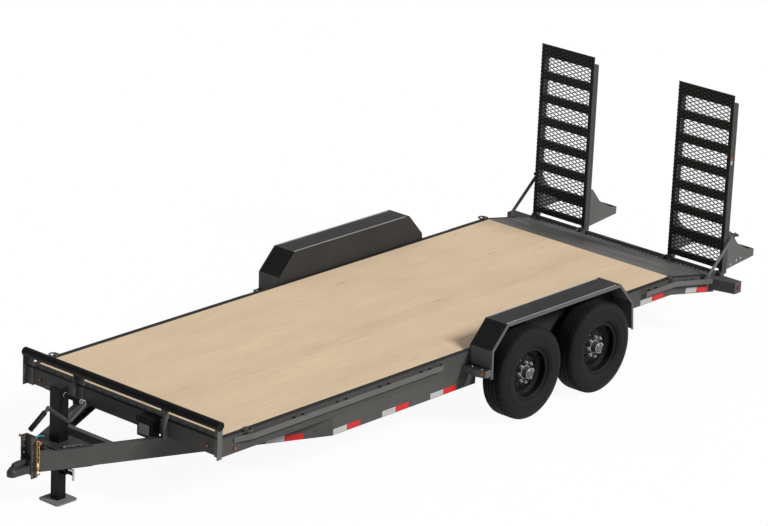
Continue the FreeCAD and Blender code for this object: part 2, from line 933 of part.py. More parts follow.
def bracket_lamp():
    # A marker lamp square to the outer part of the bracket's front face.
    (x0, y0), (x1, y1) = bracket_front()[1:]
    start = Vector(
        x0 + (x1 - x0) * bracket_lamp_share, y0 + (y1 - y0) * bracket_lamp_share, bracket_low + bracket_height / 2.0
    )
    return Part.makeCylinder(lamp_radius, lamp_depth, start, Vector(y0 - y1, x1 - x0, 0))


def axle(x):
    # Straight tube with spring seats, spindles and brake backing plates.
    inner = track_half - axle_end_inset
    tube = cylinder_y(axle_tube / 2.0, x, axle_height, -inner, inner)
    parts = [tube]
    for side in (-1.0, 1.0):
        end = side * (track_half + spindle_reach)
        root = side * inner
        parts.append(
            cylinder_y(spindle_diameter / 2.0, x, axle_height, min(end, root), max(end, root))
        )
        plate = side * (inner + backing_plate)
        parts.append(
            cylinder_y(drum_diameter / 2.0 + backing_lip, x, axle_height, min(root, plate), max(root, plate))
        )
        centre = side * spring_half
        half = spring_width / 2.0
        parts.append(
            box(
                x - spring_seat_half, x + spring_seat_half, centre - half, centre + half, spring_top, axle_height
            )
        )
    shape = fuse(parts)
    for side in sides:
        shape = shape.cut(on_side(spring(x), side))
    return shape


def spring(x):
    # Stack of curved leaves, the longest on top with an eye at each end.
    radius = (spring_eye_reach ** 2 + spring_camber ** 2) / (2.0 * spring_camber)
    centre = spring_top + radius
    half = spring_width / 2.0
    full = math.asin(spring_eye_reach / radius)
    parts = []
    for index in range(leaf_count):
        inner = radius + index * leaf_thickness
        outer = inner + leaf_thickness
        turn = full * (1.0 - leaf_step * index)
        points = []
        for r, angle in ((inner, -turn), (inner, 0.0), (inner, turn), (outer, turn), (outer, 0.0), (outer, -turn)):
            points.append(Vector(x + r * math.sin(angle), spring_half - half, centre - r * math.cos(angle)))
        wire = Part.Wire([
            Part.Arc(points[0], points[1], points[2]).toShape(), Part.makeLine(points[2], points[3]),
            Part.Arc(points[3], points[4], points[5]).toShape(), Part.makeLine(points[5], points[0]),
        ])
        parts.append(Part.Face(wire).extrude(Vector(0, spring_width, 0)))
    for way in (-1.0, 1.0):
        parts.append(
            cylinder_y(
                eye_diameter / 2.0, x + way * spring_eye_reach, eye_z, spring_half - half, spring_half + half
            )
        )
    shape = fuse(parts)
    for way in (-1.0, 1.0):
        shape = shape.cut(
            cylinder_y(
                spring_bolt / 2.0, x + way * spring_eye_reach, eye_z, spring_half - half, spring_half + half
            )
        )
    return shape


def spring_hardware():
    # Hangers under the side rail and, between the axles, the equalizer that both springs share.
    inner = spring_width / 2.0 + hanger_gap
    outer = inner + hanger_plate
    middle_x = deck_front + axle_centre
    places = {
        "front": axles["front"] - spring_eye_reach,
        "middle": middle_x,
        "rear": axles["rear"] + spring_eye_reach,
    }
    hangers = []
    for name, x in places.items():
        pivot = eye_z + (equalizer_lift if name == "middle" else 0.0)
        low = pivot - hanger_below
        parts = []
        for y0, y1 in ((-outer, -inner), (inner, outer)):
            parts.append(
                side_plate(
                    [
                        (x - hanger_half_top, rail_low), (x - hanger_half_low, low),
                        (x + hanger_half_low, low), (x + hanger_half_top, rail_low),
                    ], spring_half + y0, spring_half + y1
                )
            )
        parts.append(
            box(
                x - hanger_half_top, x + hanger_half_top, spring_half - inner, spring_half + inner,
                rail_low - hanger_plate, rail_low
            )
        )
        parts.append(
            cylinder_y(
                spring_bolt / 2.0, x, pivot, spring_half - outer - hanger_plate, spring_half + outer + hanger_plate
            )
        )
        hangers.append(fuse(parts))
    reach = axle_spacing / 2.0 - spring_eye_reach
    near = outer + hanger_gap
    far = near + hanger_plate
    end = reach + equalizer_end
    plates = []
    for y0, y1 in ((-far, -near), (near, far)):
        plate = side_plate(
            [
                (middle_x - end, eye_z - equalizer_half), (middle_x - end, eye_z + equalizer_half),
                (middle_x - equalizer_lift, eye_z + equalizer_crown),
                (middle_x + equalizer_lift, eye_z + equalizer_crown),
                (middle_x + end, eye_z + equalizer_half), (middle_x + end, eye_z - equalizer_half),
                (middle_x, eye_z),
            ], spring_half + y0, spring_half + y1
        )
        pivot_hole = cylinder_y(
            spring_bolt / 2.0, middle_x, eye_z + equalizer_lift, spring_half + y0, spring_half + y1
        )
        plates.append(plate.cut(pivot_hole))
    for way in (-1.0, 1.0):
        plates.append(
            cylinder_y(
                spring_bolt / 2.0, middle_x + way * reach, eye_z, spring_half - far, spring_half + far
            )
        )
    return hangers, fuse(plates)


def ring_of_revolution(points, x, side):
    # Points are (radius, distance out from the wheel's middle plane); turned about the axle.
    flat = [Vector(x + radius, side * (track_half + out), axle_height) for radius, out in points]
    face = polygon_face(flat)
    return face.revolve(Vector(x, 0, axle_height), Vector(0, 1, 0), 360.0)


def tyre(x, side):
    bead = bead_diameter / 2.0
    half = tyre_width / 2.0
    seat = rim_width / 2.0 - bead_inset
    outline = [
        (bead, -seat), (bead + tyre_bulge, -half),
        (tyre_radius - tyre_shoulder, -half + tyre_shoulder_width), (tyre_radius, -half + tread_inset),
        (tyre_radius, half - tread_inset), (tyre_radius - tyre_shoulder, half - tyre_shoulder_width),
        (bead + tyre_bulge, half), (bead, seat),
    ]
    return ring_of_revolution(outline, x, side)


def wheel(x, side):
    bead = bead_diameter / 2.0
    flange = rim_flange_diameter / 2.0
    seat = rim_width / 2.0 - bead_inset
    edge = rim_width / 2.0
    inner = bead - rim_wall
    disc = wheel_disc_offset
    pilot = pilot_diameter / 2.0
    low = disc - disc_dish
    outline = [
        (bead, -seat), (bead, seat), (flange, edge - flange_lip), (flange, edge), (inner, edge - rim_taper),
        (inner, disc + wheel_disc_wall), (inner - disc_slope, low + wheel_disc_wall),
        (pilot + hub_seat_width, disc + wheel_disc_wall), (pilot, disc + wheel_disc_wall), (pilot, disc),
        (pilot + hub_seat_width, disc), (inner - disc_slope, low), (inner, low), (inner, -edge + rim_taper),
        (flange, -edge), (flange, -edge + flange_lip),
    ]
    shape = ring_of_revolution(outline, x, side)
    middle = side * track_half
    for index in range(hand_hole_count):
        angle = math.radians((index + 0.5) * 360.0 / hand_hole_count)
        cx = x + hand_hole_circle / 2.0 * math.cos(angle)
        cz = axle_height + hand_hole_circle / 2.0 * math.sin(angle)
        shape = shape.cut(cylinder_y(hand_hole / 2.0, cx, cz, middle - edge, middle + edge))
    return shape


def hub(x, side):
    # Brake drum, hub barrel and cap, turned on the spindle, with the wheel nuts.
    drum = drum_diameter / 2.0
    bore = spindle_diameter / 2.0 + bearing_play
    back = -(axle_end_inset - backing_plate - drum_clearance)
    face = wheel_disc_offset
    pilot = pilot_diameter / 2.0
    cap_end = face + cap_reach
    spindle_end = spindle_reach + spindle_end_gap
    outline = [
        (bore, -barrel_reach), (barrel_radius, -barrel_reach), (barrel_radius, face - drum_crown),
        (drum - drum_wall, face - drum_crown - drum_wall), (drum - drum_wall, back), (drum, back),
        (drum, face - drum_crown), (pilot + hub_seat_width, face), (pilot - pilot_play, face),
        (pilot - pilot_play, face + drum_wall), (cap_root, face + drum_wall),
        (cap_root - cap_taper, cap_end - drum_wall), (cap_face, cap_end), (0.0, cap_end), (0.0, spindle_end),
        (bore, spindle_end),
    ]
    shape = ring_of_revolution(outline, x, side)
    nuts = []
    tip = side * (track_half + face + wheel_disc_wall + nut_seat + nut_height)
    for index in range(stud_count):
        angle = math.radians(index * 360.0 / stud_count)
        cx = x + stud_circle / 2.0 * math.cos(angle)
        cz = axle_height + stud_circle / 2.0 * math.sin(angle)
        root = side * (track_half + face - nut_root)
        nuts.append(cylinder_y(nut_size / 2.0, cx, cz, min(root, tip), max(root, tip)))
    return shape, nuts


def light_box():
    x1 = deck_rear + light_box_rear
    x0 = deck_rear - light_box_front
    clear = ramp_outer + brace_gap
    tip = half_width + light_box_reach
    plan = [
        (x0, half_width), (deck_rear, half_width), (deck_rear + light_box_turn, clear), (x1, clear), (x1, tip),
        (deck_rear - light_box_nose, tip),
    ]
    return floor_plate_shape(plan, light_box_low, light_box_high)


def hinge_bar():
    # The long pin of both ramps, held on lug plates behind the rear channel.
    reach = ramp_outer + pin_end
    pin = cylinder_y(hinge_pipe / 2.0, hinge_x, hinge_height, -reach, reach)
    inside = ramp_outer - ramp_width
    lugs = []
    for y in (
        inside - lug_gap - lug_plate, inside + ramp_rail_width + lug_gap,
        ramp_outer - ramp_rail_width - lug_gap - lug_plate
    ):
        plate = side_plate(
            [
                (deck_rear, hinge_height - lug_drop), (deck_rear, hinge_height + lug_rise),
                (hinge_x, hinge_height + lug_radius), (hinge_x, hinge_height - lug_radius),
            ], y, y + lug_plate
        )
        eye = cylinder_y(lug_radius, hinge_x, hinge_height, y, y + lug_plate)
        lugs.append(plate.fuse(eye))
        lugs.append(mirrored(plate.fuse(eye)))
    return fuse([pin] + lugs)


def window_spans():
    return [
        (window_top - window_height - index * window_pitch, window_top - index * window_pitch)
        for index in range(window_count)
    ]


def ramp_frame():
    # Two channel rails, rungs between the windows, hinge knuckles and the tall support foot.
    outer = ramp_outer
    inside = outer - ramp_width
    face = deck_rear + ramp_face_reach + mesh_sheet
    back = face + ramp_rail_depth
    parts = []
    knuckle_bore = hinge_pipe / 2.0 + hinge_play
    for y0 in (inside, outer - ramp_rail_width):
        y1 = y0 + ramp_rail_width
        rail = box(face, back, y0, y1, hinge_height, ramp_rail_high)
        parts.append(rail)
        parts.append(cylinder_y(knuckle_radius, hinge_x, hinge_height, y0, y1))
    inner0 = inside + ramp_rail_width
    inner1 = outer - ramp_rail_width
    spans = window_spans()
    parts.append(
        box(face, face + ramp_rail_wall, inside, outer, window_top, ramp_mesh_high)
    )
    parts.append(
        box(face, face + rung_leg, inner0, inner1, window_top, window_top + ramp_rail_wall)
    )
    below = [high for low, high in spans[1:]] + [ramp_mesh_low]
    for (low, high), next_top in zip(spans, below):
        parts.append(box(face, face + ramp_rail_wall, inner0, inner1, next_top, low))
        parts.append(box(face, face + rung_leg, inner0, inner1, low - ramp_rail_wall, low))
    # Foot: a gusset behind each rail and a pad channel across them
    foot_end = deck_front + ramp_foot_reach
    foot_start = foot_end - foot_pad_depth
    for y0 in (inside, outer - gusset_plate):
        outline = [
            (back - gusset_lap, gusset_high), (back + gusset_top, gusset_high - gusset_fall),
            (face + knee_reach, knee_height), (foot_start + heel_run, heel_height),
            (foot_end - gusset_lap, foot_pad_high), (foot_end - gusset_lap, foot_pad_low),
            (back - gusset_lap, gusset_low),
        ]
        parts.append(side_plate(outline, y0, y0 + gusset_plate))
    parts.append(box(foot_start, foot_end, inside, outer, foot_pad_low, foot_pad_low + ramp_rail_wall))
    parts.append(box(foot_end - ramp_rail_wall, foot_end, inside, outer, foot_pad_low, foot_pad_high))
    parts.append(box(foot_start, foot_start + ramp_rail_wall, inside, outer, foot_pad_low, foot_pad_high))
    shape = fuse(parts)
    for y0 in (inside, outer - ramp_rail_width):
        bore = cylinder_y(
            knuckle_bore, hinge_x, hinge_height, y0 - cut_margin, y0 + ramp_rail_width + cut_margin
        )
        shape = shape.cut(bore)
    hole = cylinder_y(
        brace_pin / 2.0 + pin_play, deck_rear + brace_high_x, brace_high_height, outer - gusset_plate, outer
    )
    return shape.cut(hole)


def ramp_mesh():
    # Expanded-metal face: one sheet whose windows hold a staggered lattice of diamonds.
    outer = ramp_outer
    inside = outer - ramp_width
    face = deck_rear + ramp_face_reach
    y0 = inside + ramp_rail_width + mesh_margin
    y1 = outer - ramp_rail_width - mesh_margin
    outline = [(inside, ramp_mesh_low), (outer, ramp_mesh_low), (outer, ramp_mesh_high), (inside, ramp_mesh_high)]
    wires = [Part.makePolygon([Vector(face, y, z) for y, z in outline + outline[:1]])]
    half_y = mesh_wide / 2.0 - mesh_strand
    half_z = mesh_tall / 2.0 - mesh_strand / 2.0
    columns = int((y1 - y0) / mesh_wide)
    middle = (y0 + y1) / 2.0
    for low, high in window_spans():
        rows = int((high - low) / mesh_tall) * 2 - 1
        for row in range(rows):
            z = (low + high) / 2.0 + (row - (rows - 1) / 2.0) * mesh_tall / 2.0
            count = columns if row % 2 == 0 else columns - 1
            for column in range(count):
                y = middle + (column - (count - 1) / 2.0) * mesh_wide
                diamond = [(y - half_y, z), (y, z + half_z), (y + half_y, z), (y, z - half_z)]
                wires.append(Part.makePolygon([Vector(face, a, b) for a, b in diamond + diamond[:1]]))
    sheet = Part.Face(wires)
    return sheet.extrude(Vector(mesh_sheet, 0, 0))


def brace():
    # Flat bar from the rub rail to the ramp's gusset, with its locking pin at the top.
    y0 = half_width + rub_gap + rub_bar + brace_gap
    y1 = y0 + brace_plate
    ax = deck_front + brace_low_reach
    az = brace_low_height
    bx = deck_rear + brace_high_x
    bz = brace_high_height
    run = math.hypot(bx - ax, bz - az)
    half = brace_width / 2.0
    nx = -(bz - az) / run * half
    nz = (bx - ax) / run * half
    bar = side_plate([(ax + nx, az + nz), (bx + nx, bz + nz), (bx - nx, bz - nz), (ax - nx, az - nz)], y0, y1)
    ends = [cylinder_y(half, ax, az, y0, y1), cylinder_y(half, bx, bz, y0, y1)]
    pin = cylinder_y(brace_pin / 2.0, bx, bz, ramp_outer + loose_gap, y1 + knob_start)
    knob = cylinder_y(knob_radius, bx, bz, y1 + knob_start, y1 + knob_end)
    shape = fuse([bar, pin, knob] + ends)
    return shape.cut(cylinder_y(brace_pin / 2.0 + pin_play, ax, az, y0, y1))


def junction_box():
    # Battery and wiring box on the header's face.
    x0 = deck_front - wiring_box_depth
    y0 = wiring_box_place - wiring_box_width / 2.0
    y1 = wiring_box_place + wiring_box_width / 2.0
    body = box(x0, deck_front, y0, y1, wiring_box_low, wiring_box_high - wiring_lid_lip)
    lid = box(
        x0 - wiring_lid_lip, deck_front, y0 - wiring_lid_lip, y1 + wiring_lid_lip,
        wiring_box_high - wiring_lid_height, wiring_box_high
    )
    return fuse([body, lid])


def side_lamp(x, z, side, face):
    # A round marker lamp on a face that looks sideways.
    near = side * face
    far = side * (face + lamp_depth)
    return cylinder_y(lamp_radius, x, z, min(near, far), max(near, far))


def lamps():
    amber = []
    red = []
    for side in (-1.0, 1.0):
        front = Vector(deck_front, side * header_lamp_place, header_lamp_height)
        amber.append(Part.makeCylinder(lamp_radius, lamp_depth, front, Vector(-1, 0, 0)))
        amber.append(side_lamp(deck_front + rail_lamp_place, rail_lamp_height, side, half_width))
        z = (light_box_low + light_box_high) / 2.0
        red.append(side_lamp(deck_rear + box_lamp_place, z, side, half_width + light_box_reach))
        x1 = deck_rear + light_box_rear
        y = side * (half_width + light_box_reach / 2.0 + stop_lamp_shift)
        stop = box(
            x1, x1 + stop_lamp_depth, y - stop_lamp_half, y + stop_lamp_half,
            z - stop_lamp_half_height, z + stop_lamp_half_height
        )
        ends = [e for e in stop.Edges if abs(e.BoundBox.XLength - stop_lamp_depth) < 0.1]
        red.append(stop.makeFillet(stop_lamp_round, ends))
        amber.append(bracket_lamp() if side > 0 else mirrored(bracket_lamp()))
    return amber, red


rail = side_rail()
beam = tongue_beam()
hangers, equalizer = spring_hardware()
pipe = front_pipe()
amber, red = lamps()
for side in sides:
    save("side_rail_" + side, on_side(rail, side))
    save("tongue_beam_" + side, on_side(beam, side))
    save("rub_rail_" + side, [on_side(shape, side) for shape in rub_rail()])
    save("stake_pockets_" + side, [on_side(shape, side) for shape in rub_spacers()])
    save("fender_" + side, on_side(fender(), side))
    save("spring_hangers_" + side, [on_side(shape, side) for shape in hangers])
    save("ramp_frame_" + side, on_side(ramp_frame(), side))
    save("ramp_mesh_" + side, on_side(ramp_mesh(), side))
    save("ramp_brace_" + side, on_side(brace(), side))
    for place, x in axles.items():
        name = place + "_" + side
        save("tyre_" + name, tyre(x, sides[side]))
        save("wheel_" + name, wheel(x, sides[side]))
        body, nuts = hub(x, sides[side])
        rim = wheel(x, sides[side])
        save("hub_" + name, [fuse([body] + nuts).cut(rim)])
save("equalizers", [on_side(equalizer, side) for side in sides])
save("leaf_springs", [on_side(spring(x), side) for side in sides for x in axles.values()])
save("light_boxes", [on_side(light_box(), side) for side in sides])
save("safety_chains", [on_side(shape, side) for side in sides for shape in safety_chain()])
for place, x in axles.items():
    save("axle_" + place, axle(x))
save("header", header())
save("crossmembers", crossmembers())
save("deck_boards", deck_boards())
save("dovetail_floor", dovetail_floor())
save("rear_channel", rear_channel())
save("tongue_crossmember", tongue_crossmember([beam, mirrored(beam)]))
save("jack_mount", jack_mount())
save("jack_tube", jack_tube())
save("jack_leg", jack_leg())
save("jack_pin", jack_pin())
save("jack_crank", jack_crank())
save("coupler_channel", coupler_channel())
save("coupler", coupler())
save("front_pipe", pipe)
save("front_posts", front_posts(pipe, [mirrored(beam), beam]))
save("junction_box", junction_box())
save("tie_down_rings", tie_down_rings())
save("fender_brackets", fender_brackets())
save("hinge_bar", hinge_bar())
save("amber_lamps", amber)
save("red_lamps", red)
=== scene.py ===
"""Dresses the plant trailer: paint, timber deck, tyres, expanded-metal ramps and small fittings."""

import math

import bpy
from mathutils import Matrix, Vector


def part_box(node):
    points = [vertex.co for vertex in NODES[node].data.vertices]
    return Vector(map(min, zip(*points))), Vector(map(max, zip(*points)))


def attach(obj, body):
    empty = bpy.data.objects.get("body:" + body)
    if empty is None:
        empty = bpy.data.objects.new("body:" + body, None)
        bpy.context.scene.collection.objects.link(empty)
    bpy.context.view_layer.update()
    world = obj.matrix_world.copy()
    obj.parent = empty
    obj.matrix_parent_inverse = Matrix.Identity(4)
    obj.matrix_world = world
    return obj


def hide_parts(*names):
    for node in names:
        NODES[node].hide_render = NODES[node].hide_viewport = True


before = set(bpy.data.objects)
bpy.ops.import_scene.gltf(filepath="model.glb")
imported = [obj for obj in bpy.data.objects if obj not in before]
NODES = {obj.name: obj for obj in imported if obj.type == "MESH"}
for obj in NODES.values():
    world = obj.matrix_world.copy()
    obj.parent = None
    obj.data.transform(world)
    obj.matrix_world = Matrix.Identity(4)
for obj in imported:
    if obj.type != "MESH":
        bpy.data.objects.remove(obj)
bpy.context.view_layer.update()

bl_info = {
    "name": "Plant trailer dressing",
    "version": (1, 0, 0),
    "blender": (4, 5, 0),
    "location": "View3D > Sidebar > Trailer",
    "description": "Finishes and fine pieces of a tandem-axle plant trailer",
    "category": "Object",
}

SIDES = {"left": -1.0, "right": 1.0}
PLACES = ("front", "rear")
QUARTER = math.pi / 2.0
ALONG = Vector((1.0, 0.0, 0.0))
UP = Vector((0.0, 0.0, 1.0))

# Sizes of the solids that their boxes don't give, in metres
DOVETAIL_RUN = 0.5998
DOVETAIL_DROP = 0.111
TONGUE_RUN = 2.170
TONGUE_REACH = 0.974
TONGUE_END = 1.234
RAMP_DEPTH = 0.066
FOOT_PLATE = 0.0125
RUB_BELOW_DECK = 0.022
RUB_HEIGHT = 0.044
RUB_THICKNESS = 0.008
RUB_GAP = 0.038
LAMP_INSET = 0.14


def colour_setting(name, description, default):
    return bpy.props.FloatVectorProperty(
        name=name, description=description, subtype="COLOR", size=3, default=default, min=0.0, max=1.0,
    )


def setting(name, description, default, **kind):
    """A number for the sidebar; kind says its unit or subtype."""
    return bpy.props.FloatProperty(name=name, description=description, default=default, **kind)


class TrailerPaint(bpy.types.PropertyGroup):
    """Colours of the finishes, as linear values."""

    frame_grey: colour_setting("Frame paint", "Charcoal powder coat of the frame", (0.064, 0.0625, 0.0600))
    black: colour_setting("Black paint", "Black of the jack, front rail and ramp faces", (0.0052, 0.0052, 0.0054))
    timber: colour_setting("Timber", "Middle tone of the deck boards", (0.632, 0.482, 0.324))
    # A lighter copy of the frame paint: a painted highlight for faces that catch brighter reflected light, on the
    # rub rails, fenders, ramp frames, posts and dovetail
    lit_frame_grey: colour_setting("Lit frame paint", "Paint of the rub rails, fenders and ramp frames", (0.105, 0.103, 0.099))
    rubber: colour_setting("Rubber", "Tyre rubber", (0.0085, 0.0085, 0.0085))
    tape_white: colour_setting("White tape", "White blocks of the reflective tape", (0.42, 0.42, 0.41))
    tape_red: colour_setting("Red tape", "Red blocks of the reflective tape", (0.54, 0.011, 0.011))


class TrailerSizes(bpy.types.PropertyGroup):
    """Sizes of the fine pieces."""

    mesh_wide: setting("Mesh width", "Long way of one opening in the ramp mesh", 0.079, unit="LENGTH")
    mesh_tall: setting("Mesh height", "Short way of one opening in the ramp mesh", 0.0355, unit="LENGTH")
    mesh_strand: setting("Strand", "Width of a strand of the ramp mesh", 0.0092, unit="LENGTH")
    tape_height: setting("Tape height", "Height of the reflective tape", 0.048, unit="LENGTH")
    tape_block: setting("Tape block", "Length of one colour of the tape", 0.155, unit="LENGTH")
    groove: setting("Groove", "Depth of the tyre's grooves", 0.009, unit="LENGTH")
    tread_steps: bpy.props.IntProperty(
        name="Tread steps", description="Steps of the tyre round the axle", default=120, min=48, max=240,
    )


class TrailerStage(bpy.types.PropertyGroup):
    """Where the camera stands and how the stage is lit."""

    azimuth: setting("Azimuth", "Camera's turn round the trailer", -0.8489, subtype="ANGLE")
    elevation: setting("Elevation", "Camera's height angle", 0.3332, subtype="ANGLE")
    roll: setting("Roll", "Camera's roll", 0.0431, subtype="ANGLE")
    distance: setting("Distance", "Camera to the point it looks at", 31.0897, unit="LENGTH")
    target: bpy.props.FloatVectorProperty(
        name="Target", description="Point the camera looks at", subtype="TRANSLATION", size=3,
        default=(1.0257, 0.6995, 0.7),
    )
    lens: setting("Lens", "Focal length on a 36 mm sensor", 171.607)
    sky: setting("Sky", "Light of the surroundings", 0.40)
    sun: setting("Sun", "Strength of the main light", 3.3)


# Modelling


def deselect_all():
    if bpy.context.mode != "OBJECT":
        bpy.ops.object.mode_set(mode="OBJECT")
    bpy.ops.object.select_all(action="DESELECT")


def only(piece):
    deselect_all()
    piece.select_set(True)
    bpy.context.view_layer.objects.active = piece


def settle(piece):
    """Puts the piece's place, turn and scale into its mesh."""
    only(piece)
    bpy.ops.object.transform_apply(location=True, rotation=True, scale=True)


def added(scale=(1.0, 1.0, 1.0)):
    """The primitive that was just added, with its place, turn and scale in its mesh."""
    piece = bpy.context.active_object
    piece.scale = scale
    settle(piece)
    return piece


def moved(piece, place):
    """The same piece after a move that is put into its mesh."""
    piece.location = place
    settle(piece)
    return piece


def modify(piece, kind, **values):
    """Adds one modifier with its values and applies it."""
    only(piece)
    modifier = piece.modifiers.new(kind.title(), kind)
    for name, value in values.items():
        setattr(modifier, name, value)
    bpy.ops.object.modifier_apply(modifier=modifier.name)


def repeat(piece, count, step):
    """Makes a row of the piece, one step apart."""
    modify(
        piece, "ARRAY", count=count, use_relative_offset=False, use_constant_offset=True,
        constant_offset_displace=step,
    )


def edit(piece):
    """Opens the piece's mesh with all of it selected."""
    only(piece)
    bpy.ops.object.mode_set(mode="EDIT")
    bpy.ops.mesh.select_all(action="SELECT")


def leave_edit():
    bpy.ops.object.mode_set(mode="OBJECT")


def pick_faces(piece, picks):
    """Opens the piece's mesh with some faces selected; picks says yes or no for each face."""
    edit(piece)
    bpy.ops.mesh.select_all(action="DESELECT")
    leave_edit()
    for face, picked in zip(piece.data.polygons, picks):
        face.select = picked
    bpy.ops.object.mode_set(mode="EDIT")
    bpy.ops.mesh.select_mode(type="FACE")


def joined(pieces, name):
    deselect_all()
    for piece in pieces:
        piece.select_set(True)
    bpy.context.view_layer.objects.active = pieces[0]
    if len(pieces) > 1:
        bpy.ops.object.join()
    piece = bpy.context.active_object
    piece.name = name
    piece.data.name = name
    return piece


def copied(piece):
    """A copy with its own mesh."""
    twin = piece.copy()
    twin.data = piece.data.copy()
    bpy.context.scene.collection.objects.link(twin)
    return twin


def cleaned(piece, gap=0.00005):
    """Merges doubles and turns the faces outwards."""
    edit(piece)
    bpy.ops.mesh.remove_doubles(threshold=gap)
    bpy.ops.mesh.normals_make_consistent(inside=False)
    leave_edit()


def mirrored(piece):
    """A copy of the piece for the trailer's other side."""
    twin = copied(piece)
    twin.data.transform(Matrix.Scale(-1.0, 4, Vector((0.0, 1.0, 0.0))))
    cleaned(twin)
    return twin


def hand_over(pieces, name, body, finish, nodes=(), angle=None):
    """Makes one finished piece that rides on a body and stands for the nodes."""
    piece = joined(pieces, name)
    if angle:
        bpy.ops.object.shade_smooth_by_angle(angle=math.radians(angle))
    settle(piece)
    piece.data.materials.clear()
    piece.data.materials.append(MATERIALS[finish])
    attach(piece, body)
    if nodes:
        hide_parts(*nodes)


def block(place, size, bevel=0.0, segments=1, turn=(0.0, 0.0, 0.0)):
    """A bar or plate round a point, with eased edges."""
    deselect_all()
    bpy.ops.mesh.primitive_cube_add(size=1.0, location=place, rotation=turn)
    piece = added(size)
    if bevel:
        modify(piece, "BEVEL", width=bevel, segments=segments)
    return piece


def bolt_head(place, radius, height, bevel, turn=(0.0, 0.0, 0.0), sides=6):
    deselect_all()
    bpy.ops.mesh.primitive_cylinder_add(vertices=sides, radius=radius, depth=height, location=place, rotation=turn)
    piece = added()
    modify(piece, "BEVEL", width=bevel, segments=1)
    return piece


def ring(centre, major, minor, axis="Y", major_segments=24, minor_segments=8):
    deselect_all()
    turn = {"X": (0.0, QUARTER, 0.0), "Y": (QUARTER, 0.0, 0.0)}[axis]
    bpy.ops.mesh.primitive_torus_add(
        location=centre, rotation=turn, major_radius=major, minor_radius=minor,
        major_segments=major_segments, minor_segments=minor_segments,
    )
    return added()


def round_bar(start, end, radius, sides=16):
    """A round bar between two points."""
    deselect_all()
    start = Vector(start)
    end = Vector(end)
    run = end - start
    bpy.ops.mesh.primitive_cylinder_add(
        vertices=sides, radius=radius, depth=run.length, location=(start + end) / 2.0,
        rotation=run.to_track_quat("Z", "Y").to_euler(),
    )
    return added()


# Shader nodes


def give(tree, socket, item):
    """Links a socket to an output, or sets its value; a colour may have three values."""
    if isinstance(item, bpy.types.NodeSocket):
        tree.links.new(item, socket)
    else:
        socket.default_value = (*item, 1.0) if socket.type == "RGBA" else item


def feed(tree, node, **items):
    """Gives each named input of a node its value or its link."""
    for label, item in items.items():
        give(tree, node.inputs[label], item)


def added_node(tree, kind, **items):
    node = tree.nodes.new("ShaderNode" + kind)
    feed(tree, node, **items)
    return node


def object_space(tree, scale=(1.0, 1.0, 1.0)):
    place = added_node(tree, "TexCoord").outputs["Object"]
    return added_node(tree, "Mapping", Scale=scale, Vector=place).outputs["Vector"]


def place_in_object(tree):
    """The object's coordinates, one output each."""
    return added_node(tree, "SeparateXYZ", Vector=object_space(tree)).outputs


def noise(tree, vector, scale, detail=3.0, roughness=0.55):
    node = added_node(tree, "TexNoise", Vector=vector, Scale=scale, Detail=detail, Roughness=roughness)
    return node.outputs["Fac"]


def span(tree, value, low, high, out_low, out_high):
    """Maps a value from one range to another."""
    items = {"Value": value, "From Min": low, "From Max": high, "To Min": out_low, "To Max": out_high}
    return added_node(tree, "MapRange", **items).outputs["Result"]


def calculate(tree, operation, *items):
    node = added_node(tree, "Math")
    node.operation = operation
    for socket, item in zip(node.inputs, items):
        give(tree, socket, item)
    return node.outputs["Value"]


def blend_colours(tree, factor, first, second):
    node = added_node(tree, "Mix", Factor=factor)
    node.data_type = "RGBA"
    for label, item in (("A", first), ("B", second)):
        socket = [s for s in node.inputs if s.name == label and s.type == "RGBA"][0]
        give(tree, socket, item)
    return [s for s in node.outputs if s.type == "RGBA"][0]


def shaded(tree, tone, value):
    """The colour made lighter or darker by a factor."""
    return added_node(tree, "HueSaturation", Color=tone, Value=value).outputs["Color"]


def bump(tree, height, distance, strength):
    return added_node(tree, "Bump", Height=height, Distance=distance, Strength=strength).outputs["Normal"]


# Effects shared by the finishes

OUTPUTS = {"Colour": "NodeSocketColor", "Roughness": "NodeSocketFloat", "Normal": "NodeSocketVector"}


def effect(name, inputs, outputs=tuple(OUTPUTS)):
    """An empty shader group; a tuple makes a colour input and a number makes a value input."""
    group = bpy.data.node_groups.new(name, "ShaderNodeTree")
    for label, value in inputs.items():
        if isinstance(value, tuple):
            kind, value = "NodeSocketColor", (*value, 1.0)
        else:
            kind = "NodeSocketFloat"
        group.interface.new_socket(label, in_out="INPUT", socket_type=kind).default_value = value
    for label in outputs:
        group.interface.new_socket(label, in_out="OUTPUT", socket_type=OUTPUTS[label])
    start = group.nodes.new("NodeGroupInput")
    end = group.nodes.new("NodeGroupOutput")
    return group, start.outputs, end


def powder_coat_effect():
    """Slight cloudiness, dust that gathers in patches and the orange peel of a sprayed coat."""
    inputs = {
        "Colour": (0.1, 0.1, 0.1), "Dust": (0.2, 0.18, 0.15), "Dust amount": 0.1, "Roughness": 0.4,
    }
    group, given, end = effect("Powder coat", inputs)
    vector = object_space(group)
    cloud = noise(group, vector, scale=2.3, detail=4.0)
    patches = noise(group, vector, scale=9.0, detail=5.0, roughness=0.65)
    peel = noise(group, vector, scale=420.0, detail=1.0)
    dust = span(group, patches, 0.42, 0.75, 0.0, given["Dust amount"])
    dusty = blend_colours(group, dust, given["Colour"], given["Dust"])
    feed(
        group, end,
        Colour=shaded(group, dusty, span(group, cloud, 0.3, 0.7, 0.9, 1.1)),
        Roughness=calculate(group, "ADD", given["Roughness"], span(group, patches, 0.3, 0.7, -0.05, 0.1)),
        Normal=bump(group, peel, distance=0.0002, strength=0.35),
    )
    return group


